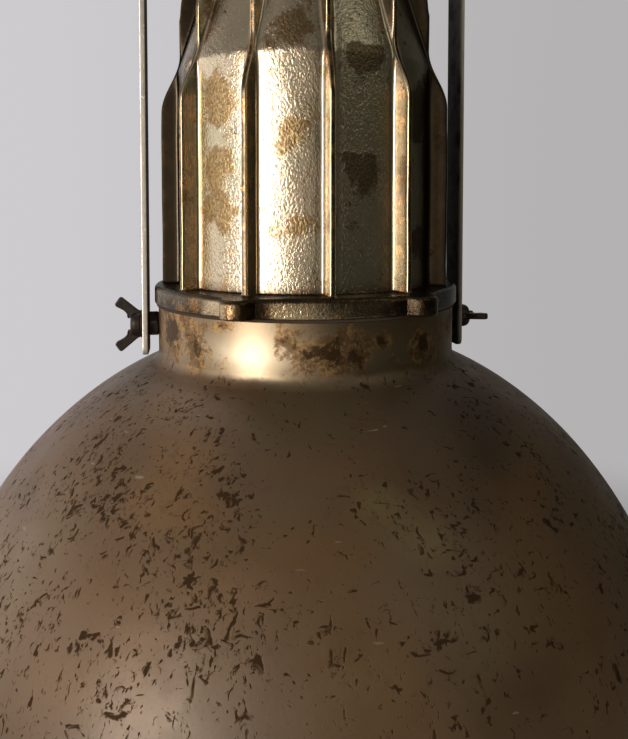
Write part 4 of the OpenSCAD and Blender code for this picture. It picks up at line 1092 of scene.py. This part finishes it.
class Finish(Nodes):
    """A material being put together: every pattern reads the piece's own Object coordinates in metres."""

    def __init__(self, name, **shader):
        self.material = bpy.data.materials.new(name)
        self.material.use_nodes = True
        super().__init__(self.material.node_tree)
        self.shader = self.tree.nodes["Principled BSDF"]
        self.object = self.value("Object", "TexCoord")
        self.set(**shader)

    def set(self, **shader):
        """Sets or links the main shader's inputs, with _ for a space."""
        for key, value in shader.items():
            self.join(self.shader.inputs[key.replace("_", " ")], value)

    def stretched(self, scale, turn):
        """Object coordinates scaled and turned, for a pattern with a direction."""
        return self.value(0, "Mapping", None, {"Vector": self.object, "Scale": scale, "Rotation": turn})

    def noise(self, scale, detail=3.0, rough=0.55, vector=None, bend=0.0):
        """Cloudy noise, about 0.5 on average, with patches about 1 / scale metres across."""
        return self.value("Fac", "TexNoise", None, {"Vector": vector or self.object, "Scale": scale, "Detail": detail,
                                                    "Roughness": rough, "Distortion": bend})

    def attribute(self, name):
        """A number stored on the piece's points."""
        return self.value("Fac", "Attribute", {"attribute_name": name})

    def along(self, axis):
        """The Object coordinate on one axis, in metres."""
        return self.value(axis, "SeparateXYZ", None, {0: self.object})

    def height(self, z_low, z_high):
        """0 below z_low and 1 above z_high, two heights in millimetres about the pivot axis."""
        return self.step(self.along(2), (PIVOT_Z + z_low) * MM, (PIVOT_Z + z_high) * MM)

    def bump(self, height, depth):
        """Relief of a given depth in millimetres."""
        return self.value(0, "Bump", None, {"Height": height, "Distance": depth * MM, "Strength": 1.0})


def tint(colour, *by):
    """A colour times one share, or times a share for each of its three channels."""
    return [c * s for c, s in zip(colour, by * 3)]


def casting_finish(colours):
    """Aged bright casting: pale pebbled metal with gold-brown patches, a dark skin on fins and flange, painted shade in
    the corners, on darker sectors and on shaded patches, and worn gold edges, which on the flange also stand for a
    painted highlight."""
    f = Finish("aged_casting", Metallic=1.0)
    pale, gold_brown, patina = colours.cast_pale, colours.cast_gold, colours.cast_dark
    wear, skin_share, grime, patch, fillet, dull, burnt = (
        f.attribute(n) for n in ("wear", "skin", "grime", "patch", "fillet", "dull", "burnt"))
    cloud, pebble = f.noise(55, 5, 0.65), f.noise(760, 2.0, 0.55, f.stretched((1, 1, 0.82), (0.25, 0.35, 0)), 0.4)
    grain = f.step(pebble, 0.36, 0.62)
    ragged = f.noise(75, 6, 0.75) + f.noise(30, 2) * 0.6 - 0.8
    spot = f.step(patch + ragged * 2.6, 0.24, 0.58)
    slow = f.step(f.noise(17, 3, 0.6), 0.42, 0.66)
    colour = f.mix(slow, pale, f.mix(0.6, pale, (0.42, 0.42, 0.28)))
    colour = f.mix(f.blend(grain, 0.75, 0.0), colour, f.mix(0.35, pale, gold_brown))
    gold = f.mix(grain, tint(gold_brown, 0.5), tint(gold_brown, 1.05))
    brown = f.step(f.noise(120, 5, 0.75, None, 0.4), 0.50, 0.62, 0.0, 0.65)
    gold = f.mix(brown, gold, tint(gold_brown, 0.52, 0.42, 0.36))
    # Painted shade: the burnt number darkens the gold patches
    gold = f.mix(burnt * 0.8, gold, tint(patina, 0.9))
    colour = f.mix(spot * 0.88, colour, gold)
    freckle = f.step(f.noise(210, 4, 0.7), 0.57, 0.68) * f.step(cloud, 0.45, 0.6)
    # Painted shade: corner darkens the foot of the wall, from the grime number
    corner = grime * f.step(cloud, 0.25, 0.6, 0.7, 1.0)
    cover = skin_share * f.step(f.noise(95, 5, 0.7), 0.40, 0.62, 1.0, 0.85)
    dark = f.calc("MAXIMUM", f.calc("MAXIMUM", corner, cover), freckle * 0.7) * (1.0 - wear)
    glint = f.step(f.noise(110, 4, 0.7), 0.48, 0.60) * f.blend(grain, 0.35, 1.0)
    colour = f.mix(dark, colour, f.mix(glint, tint(patina, 0.62), tint(gold_brown, 1.05, 0.80, 0.65)))
    colour = f.mix(wear * f.step(cloud, 0.3, 0.6, 0.35, 0.9), colour, (0.72, 0.52, 0.28))
    # Painted shade: the dull number turns whole sectors almost to the dark colour
    colour = f.mix(dull, colour, f.mix(0.92, colour, tint(patina, 0.25)))
    relief = (pebble + f.noise(1400, 2) * 0.2) * f.blend(spot, 0.75, 1.0) * f.blend(fillet, 1.0, 0.12)
    f.set(Base_Color=colour, Roughness=f.blend(spot, 0.22, 0.32) + (dark + dull) * 0.03, Normal=f.bump(relief, 0.42))
    return f.material


def speckled_shade(f, colours, base):
    """Colour, roughness, relief and share of specks of the browned sheet: warm and cool clouds, clusters of
    small dark strokes and a few pale scratches."""
    warm = f.step(f.noise(9, 3, 0.55), 0.42, 0.66)
    colour = f.mix(warm, base, tint(base, 1.34, 1.12, 0.72))
    cool = f.step(f.noise(12, 4, 0.6, f.stretched((1, 1, 1), (1.1, 0.4, 2.0))), 0.50, 0.68)
    colour = f.mix(cool * 0.75, colour, tint(base, 1.02, 1.24, 1.12))
    # The patina number lightens or darkens the brown; its darker spots on the right side are painted shade
    patina = f.attribute("patina") + (f.noise(26, 4, 0.6) - 0.5) * 0.5
    amber_to_olive = f.mix(f.step(f.along(0), -0.05, 0.03), tint(base, 1.80, 1.56, 1.05), tint(base, 1.55, 1.85, 1.40))
    colour = f.mix(f.step(patina, 0.05, 1.0), colour, amber_to_olive)
    colour = f.mix(f.step(patina, -0.05, -1.0), colour, tint(base, 0.50, 0.46, 0.40))
    needle, other = f.stretched((1.9, 1.9, 0.8), (0.9, 0.35, 0.2)), f.stretched((0.9, 1.7, 1.7), (0.3, 0.6, 0.4))
    cluster = f.step(f.noise(24, 3, 0.6), 0.40, 0.62, 0.0, 0.055) + f.attribute("crowd") * 0.055
    strokes = [f.step(f.noise(size, 3, 0.5, way, 0.7) + cluster, low - 0.01, low + 0.07) for size, way, low in (
        (105, needle, 0.675), (165, needle, 0.665), (160, other, 0.67), (330, needle, 0.685))]
    dark = f.calc("MAXIMUM", f.calc("MAXIMUM", *strokes[:2]), f.calc("MAXIMUM", *strokes[2:]))
    halo = f.step(f.noise(150, 3, 0.55, needle, 0.7) + cluster, 0.60, 0.70, 0.0, 0.35)
    colour = f.mix(halo, colour, tint(base, 0.80, 0.62, 0.45))
    colour = f.mix(dark * 0.85, colour, colours.shade_speck)
    scratch = f.step(f.noise(85, 1.5, 0.4, f.stretched((1, 1, 7), (0.2, 0.1, 0))), 0.765, 0.785)
    colour = f.mix(scratch * 0.6, colour, (0.34, 0.28, 0.21))
    rough = f.step(f.noise(40, 4, 0.6), 0.3, 0.7, 0.38, 0.50) + dark * 0.35
    relief = f.noise(520, 3, 0.6) * 0.35 + dark * -0.6
    faded = (1.0 - f.height(-95, -35)) * f.step(f.noise(10, 2), 0.4, 0.6, 0.25, 0.8)
    colour = f.mix(faded, colour, f.mix(dark, tint(base, 1.55, 1.45, 1.25), colour))
    return colour, rough, relief, dark


def shade_finish(colours):
    """The dome's outside: browned sheet below, worn through to bright blotched metal on the neck, painted paler still
    as a highlight where the light falls.
    """
    f = Finish("browned_sheet")
    colour, rough, relief, dark = speckled_shade(f, colours, colours.shade_brown)
    bare = f.step(f.height(-26, -8) + (f.noise(45, 5, 0.65) - 0.5) * 0.9, 0.35, 0.80)
    cloud, rubbed = f.step(f.noise(30, 3, 0.6), 0.40, 0.66), f.attribute("rubbed")
    mottle = f.noise(80, 8, 0.80, f.stretched((1, 1, 0.85), (0.4, 0.2, 0.6)), 0.4)
    stained, speck = mottle + f.attribute("stain") * 0.25, (f.noise(240, 4, 0.7) - 0.5) * 0.35
    stain, core = f.step(stained, 0.52, 0.60), f.step(stained + speck, 0.63, 0.72)
    # Painted highlight: where the rubbed number is high the neck is pale, nearly white metal; elsewhere it is brown
    gold, brown = tint(colours.cast_pale, 1.06, 1.02, 0.93), tint(colours.cast_pale, 0.34, 0.275, 0.205)
    metal = f.mix(f.blend(cloud, rubbed, rubbed * 0.72), brown, gold)
    rust = f.mix(f.step(f.noise(170, 6, 0.8), 0.40, 0.56), (0.46, 0.27, 0.105), (0.17, 0.085, 0.033))
    metal = f.mix(stain * 0.85, metal, rust)
    metal = f.mix(core * 0.9, metal, (0.065, 0.035, 0.016))
    f.set(Base_Color=f.mix(bare, colour, metal), Metallic=f.blend(bare, f.blend(dark, 0.35, 0.6), 1.0),
          Specular_IOR_Level=f.blend(dark, 0.7, 0.1), Roughness=f.blend(bare, rough, f.blend(stain, 0.39, 0.48)),
          Normal=f.bump(f.blend(bare, relief, f.noise(560, 3, 0.6) * 0.35), 0.14))
    return f.material


def skirt_finish(colours):
    """The rolled skirt: darker browned sheet, rubbed pale along the bead."""
    f = Finish("rolled_skirt", Metallic=0.5)
    colour, rough, relief, _ = speckled_shade(f, colours, tint(colours.shade_brown, 0.62))
    rubbed = (1.0 - f.height(SKIRT_LOW, SKIRT_LOW + 1.6)) * f.step(f.noise(90, 4, 0.7), 0.42, 0.6)
    f.set(Base_Color=f.mix(rubbed * 0.7, colour, (0.30, 0.23, 0.15)), Roughness=rough, Normal=f.bump(relief, 0.16))
    return f.material


def cream_finish(colours):
    """Old cream enamel inside the dome: faint orange-peel, yellowed clouds and a few brown freckles."""
    f = Finish("cream_enamel", Coat_Weight=0.35, Coat_Roughness=0.25)
    yellow = f.step(f.noise(11, 4, 0.6), 0.4, 0.7)
    colour = f.mix(yellow, colours.shade_cream, tint(colours.shade_cream, 0.95, 0.9, 0.78))
    freckle = f.step(f.noise(170, 4, 0.7), 0.66, 0.71) * f.step(f.noise(20, 2), 0.45, 0.6)
    f.set(Base_Color=f.mix(freckle * 0.8, colour, (0.20, 0.11, 0.05)),
          Roughness=f.step(f.noise(60, 3), 0.3, 0.7, 0.32, 0.45),
          Normal=f.bump(f.noise(300, 2) + freckle * -0.8, 0.05))
    return f.material


def metal_finish(name, colour, tarnish, amount=0.5, rough=0.35, scale=1.0, metallic=1.0, relief=0.06, shaded_arms=False):
    """Bare metal with clouds of tarnish, fine pits, worn edges and uneven gloss. With sooty set, the metal is made
    almost black by the number soot on its points, a painted shade, and its narrow sides are painted bright, a highlight
    on partly worn metal."""
    f = Finish(name, Metallic=metallic)
    cloud = f.noise(70 * scale, 5, 0.65)
    share = f.calc("MULTIPLY", f.step(cloud, 0.38, 0.66), amount * 1.4, clamp=True)
    pits = f.step(f.noise(420 * scale, 4, 0.65), 0.60, 0.68)
    tone = f.mix(share, colour, tarnish)
    tone = f.mix(pits * amount, tone, tint(tarnish, 0.45))
    edge = f.step(f.value("Pointiness", "NewGeometry"), 0.52, 0.60)
    tone = f.mix(edge * 0.55, tone, [min(1, c * 1.7 + 0.05) for c in colour])
    gloss = f.step(cloud, 0.3, 0.7, rough - 0.06, rough + 0.12) + pits * 0.15
    if shaded_arms:
        # Painted highlight: the narrow sides are made pale and more metallic
        bright = f.attribute("narrow_side") * f.step(cloud, 0.4, 0.7, 0.9, 0.6)
        tone, metallic = f.mix(bright, tone, (0.86, 0.75, 0.61)), f.blend(bright, metallic, 0.85)
        # Painted shade: where the soot number is high the metal turns almost black, rough and non-metallic
        shade_share = f.attribute("soot") * f.step(cloud, 0.3, 0.6, 1.0, 0.9)
        tone, gloss = f.mix(shade_share, tone, (0.016, 0.012, 0.009)), f.blend(shade_share, gloss, 0.8)
        f.set(Metallic=f.blend(shade_share, metallic, 0.0), Specular_IOR_Level=f.blend(shade_share, 0.5, 0.05))
    f.set(Base_Color=tone, Roughness=gloss, Normal=f.bump(f.noise(300 * scale, 4, 0.6) - pits * 0.7, relief))
    return f.material


def moulded_finish(name, colour, rough, relief=0.03, scale=1.0, dirt=(0.08, 0.06, 0.04), **shader):
    """Glazed, moulded or rubbery surfaces: slight clouds of tone, dust in patches and a fine grain."""
    f = Finish(name, **shader)
    cloud = f.noise(60 * scale, 4, 0.6)
    tone = f.mix(f.step(cloud, 0.35, 0.7), colour, tint(colour, 0.86))
    tone = f.mix(f.step(f.noise(190 * scale, 5, 0.7), 0.55, 0.72) * 0.25, tone, dirt)
    f.set(Base_Color=tone, Roughness=f.step(cloud, 0.3, 0.7, rough - 0.05, rough + 0.08),
          Normal=f.bump(f.noise(600 * scale, 3), relief))
    return f.material


def glass_finish():
    """Clear bulb glass with a thin, uneven film of dust."""
    f = Finish("clear_glass", Base_Color=(0.97, 0.97, 0.95), Transmission_Weight=1.0, IOR=1.45)
    f.set(Roughness=f.step(f.noise(70, 5, 0.6), 0.45, 0.75, 0.01, 0.10), Normal=f.bump(f.noise(60, 2), 0.02))
    return f.material


class LAMP_OT_finishes(bpy.types.Operator):
    """Make the finishes that the pieces take"""

    bl_idname = "lamp.finishes"
    bl_label = "Finishes"

    def execute(self, context):
        source = context.scene.lamp_finishes
        c = SimpleNamespace(**{key: tuple(getattr(source, key)) for key in LampFinishes.__annotations__})
        FINISH.update(
            casting=casting_finish(c), shade=shade_finish(c), skirt=skirt_finish(c), cream=cream_finish(c),
            strap=metal_finish("tarnished_strap", c.strap_grey, (0.30, 0.26, 0.21), 0.45, 0.36, 1.1, 0.35, 0.10, True),
            dark_steel=metal_finish("blackened_steel", c.steel_dark, (0.045, 0.028, 0.018), 0.6, 0.42, 1.8, 0.85, 0.08),
            eye=metal_finish("forged_steel", (0.21, 0.17, 0.13), (0.085, 0.055, 0.030), 0.7, 0.44, 1.2, relief=0.16),
            gland=metal_finish("tarnished_brass", c.brass, (0.16, 0.10, 0.04), 0.55, 0.30, 1.4),
            contact=metal_finish("contact_brass", c.brass, (0.26, 0.17, 0.06), 0.3, 0.24, 2.0, relief=0.03),
            zinc=metal_finish("zinc_plate", (0.48, 0.49, 0.50), (0.27, 0.27, 0.28), 0.5, 0.36, 0.8, relief=0.03),
            nickel=metal_finish("bulb_cap_metal", (0.62, 0.58, 0.48), (0.30, 0.25, 0.16), 0.4, 0.24, 2.0, relief=0.03),
            tungsten=metal_finish("tungsten", (0.22, 0.22, 0.22), (0.10, 0.10, 0.10), 0.4, 0.3, 3.0, relief=0.01),
            rubber=moulded_finish("fibre_gasket", (0.060, 0.040, 0.025), 0.8, 0.08, dirt=(0.17, 0.115, 0.065),
                                  Specular_IOR_Level=0.2),
            porcelain=moulded_finish("porcelain", (0.74, 0.70, 0.60), 0.16, 0.02, Coat_Weight=0.5, Coat_Roughness=0.08),
            black_glass=moulded_finish("black_glass", (0.02, 0.017, 0.024), 0.12, 0.01, Coat_Weight=0.4),
            lead_brown=moulded_finish("brown_lead", (0.16, 0.065, 0.025), 0.45, 0.02, 2.0),
            lead_blue=moulded_finish("blue_lead", (0.035, 0.13, 0.32), 0.45, 0.02, 2.0),
            lead_green=moulded_finish("green_lead", (0.16, 0.32, 0.05), 0.45, 0.02, 2.0),
            bulb_glass=glass_finish(),
        )
        return {"FINISHED"}


# ---- stage ----

FLOOR_DROP, FLOOR_R = 240, 1450  # the floor's distance below the lamp, and its radius


def aimed(thing, at, to):
    """Puts a light or the camera at a point in metres, looking at another."""
    thing.location = at
    thing.rotation_euler = (Vector(to) - Vector(at)).to_track_quat("-Z", "Y").to_euler()


def softbox(name, at, width, height, power, colour=(1, 1, 1)):
    """A rectangular area light aimed at the lamp's head."""
    light = bpy.data.lights.new(name, "AREA")
    light.shape, light.size, light.size_y, light.energy, light.color = "RECTANGLE", width, height, power, colour
    thing = bpy.data.objects.new(name, light)
    bpy.context.scene.collection.objects.link(thing)
    aimed(thing, at, (0, 0, (PIVOT_Z + 40) * MM))
    thing.visible_camera = False


class LAMP_OT_stage(bpy.types.Operator):
    """Build the pale floor, the world, the soft lights and the camera"""

    bl_idname = "lamp.stage"
    bl_label = "Stage, light and camera"

    def execute(self, context):
        colours = context.scene.lamp_finishes
        self.world(colours)
        finish = Finish("pale_floor", Roughness=0.9, Base_Color=tuple(colours.floor))
        spread = finish.value("Value", "VectorMath", {"operation": "LENGTH"}, {0: finish.object})
        faded = finish.value(0, "MixShader", None, {0: finish.step(spread, 0.95, 1.35), 1: finish.shader.outputs[0],
                                                    2: finish.value(0, "BsdfTransparent")})
        finish.join(finish.tree.nodes["Material Output"].inputs["Surface"], faded)
        count, level = 96, CAD_BOX[0][2] / MM - FLOOR_DROP
        k = np.arange(count)
        fan = np.stack([np.zeros(count, int), k + 1, (k + 1) % count + 1], -1)
        floor = build("floor", (np.vstack([[(0, 0, level)], circle(FLOOR_R, whole_turn(count), level)]), [fan]))
        floor.data.materials.append(finish.material)

        softbox("key_softbox", (-1.59, -1.46, -0.20), 0.83, 1.5, 31)
        softbox("side_softbox", (-2.13, 0.35, -0.01), 2.24, 1.5, 9.2)
        softbox("right_softbox", (1.26, -1.5, 1.17), 1.2, 1.2, 2.5, (0.93, 1.0, 0.88))
        softbox("back_softbox", (-0.4, 1.2, 1.5), 1.4, 1.2, 8.0)

        camera = bpy.data.cameras.new("camera")
        camera.sensor_width, camera.lens, camera.shift_y = 36, 33.93, -0.175
        eye = bpy.data.objects.new("camera", camera)
        context.scene.collection.objects.link(eye)
        bearing, pitch = math.radians(9.63), math.radians(2.4)
        ahead = (math.sin(bearing) * math.cos(pitch), math.cos(bearing) * math.cos(pitch), -math.sin(pitch))
        at = (-0.0649, -0.4121, (PIVOT_Z + BODY_Z + 41.6) * MM)
        aimed(eye, at, [a + d for a, d in zip(at, ahead)])
        context.scene.camera = eye
        context.scene.view_settings.view_transform = "Standard"
        return {"FINISHED"}

    def world(self, colours):
        """A plain grey light, dimmer towards the front right and brighter in a patch beside the camera, and a
        pale backdrop that is a little darker to the right. The camera and clear glass see the backdrop all
        round, and metal sees it behind the lamp."""
        world = bpy.data.worlds.new("studio")
        bpy.context.scene.world = world
        world.use_nodes = True
        world.node_tree.nodes.clear()
        w = Nodes(world.node_tree)
        direction = w.value("Generated", "TexCoord")

        def towards(way, low, high):
            share = w.value("Value", "VectorMath", {"operation": "DOT_PRODUCT"}, {0: direction, 1: way})
            return w.step(share, low, high)

        back = w.mix(towards((1, 0, 0), -0.24, 0.52), tuple(colours.background_left), tuple(colours.background_right))
        light = w.mix(towards((0.87, -0.5, 0), -0.35, 0.75), (0.27, 0.26, 0.25), (0.05, 0.052, 0.042))
        light = w.mix(towards((-0.36, -0.93, 0), 0.87, 0.985), light, (0.52, 0.48, 0.42))
        rays = w.node("LightPath").outputs
        metal = Value(w, rays["Is Glossy Ray"]) * towards((-0.72, 0.69, 0), 0.74, 0.90)
        seen = w.calc("MAXIMUM", w.calc("MAXIMUM", rays["Is Camera Ray"], metal), rays["Is Transmission Ray"])
        shade = w.value(0, "Background", None, {0: w.mix(seen, light, back)})
        w.node("OutputWorld", None, {0: shade})


# ---- panel and running order ----

OPERATORS = (LAMP_OT_finishes, LAMP_OT_housing, LAMP_OT_shade, LAMP_OT_yoke, LAMP_OT_pivots, LAMP_OT_eye,
             LAMP_OT_cap, LAMP_OT_holder, LAMP_OT_bulb, LAMP_OT_stage)


class LAMP_PT_panel(bpy.types.Panel):
    """The lamp's pieces, sizes and colours"""

    bl_idname = "LAMP_PT_panel"
    bl_label = "Barn Lamp"
    bl_space_type = "VIEW_3D"
    bl_region_type = "UI"
    bl_category = "Barn Lamp"

    def draw(self, context):
        column = self.layout.column(align=True)
        for operator in OPERATORS:
            column.operator(operator.bl_idname)
        for group in (context.scene.lamp_sizes, context.scene.lamp_finishes):
            column = self.layout.column(align=True)
            for key in group.__annotations__:
                column.prop(group, key)


CLASSES = (LampSizes, LampFinishes, *OPERATORS, LAMP_PT_panel)


def register():
    """Makes the property groups, operators and panel known."""
    for cls in CLASSES:
        bpy.utils.register_class(cls)
    bpy.types.Scene.lamp_sizes = PointerProperty(type=LampSizes)
    bpy.types.Scene.lamp_finishes = PointerProperty(type=LampFinishes)


def unregister():
    """Takes them away again."""
    del bpy.types.Scene.lamp_finishes
    del bpy.types.Scene.lamp_sizes
    for cls in reversed(CLASSES):
        bpy.utils.unregister_class(cls)


def main():
    register()
    for operator in OPERATORS:
        group, name = operator.bl_idname.split(".")
        if getattr(getattr(bpy.ops, group), name)() != {"FINISHED"}:
            raise RuntimeError(f"{operator.bl_idname} did not finish")


if __name__ == "__main__":
    main()
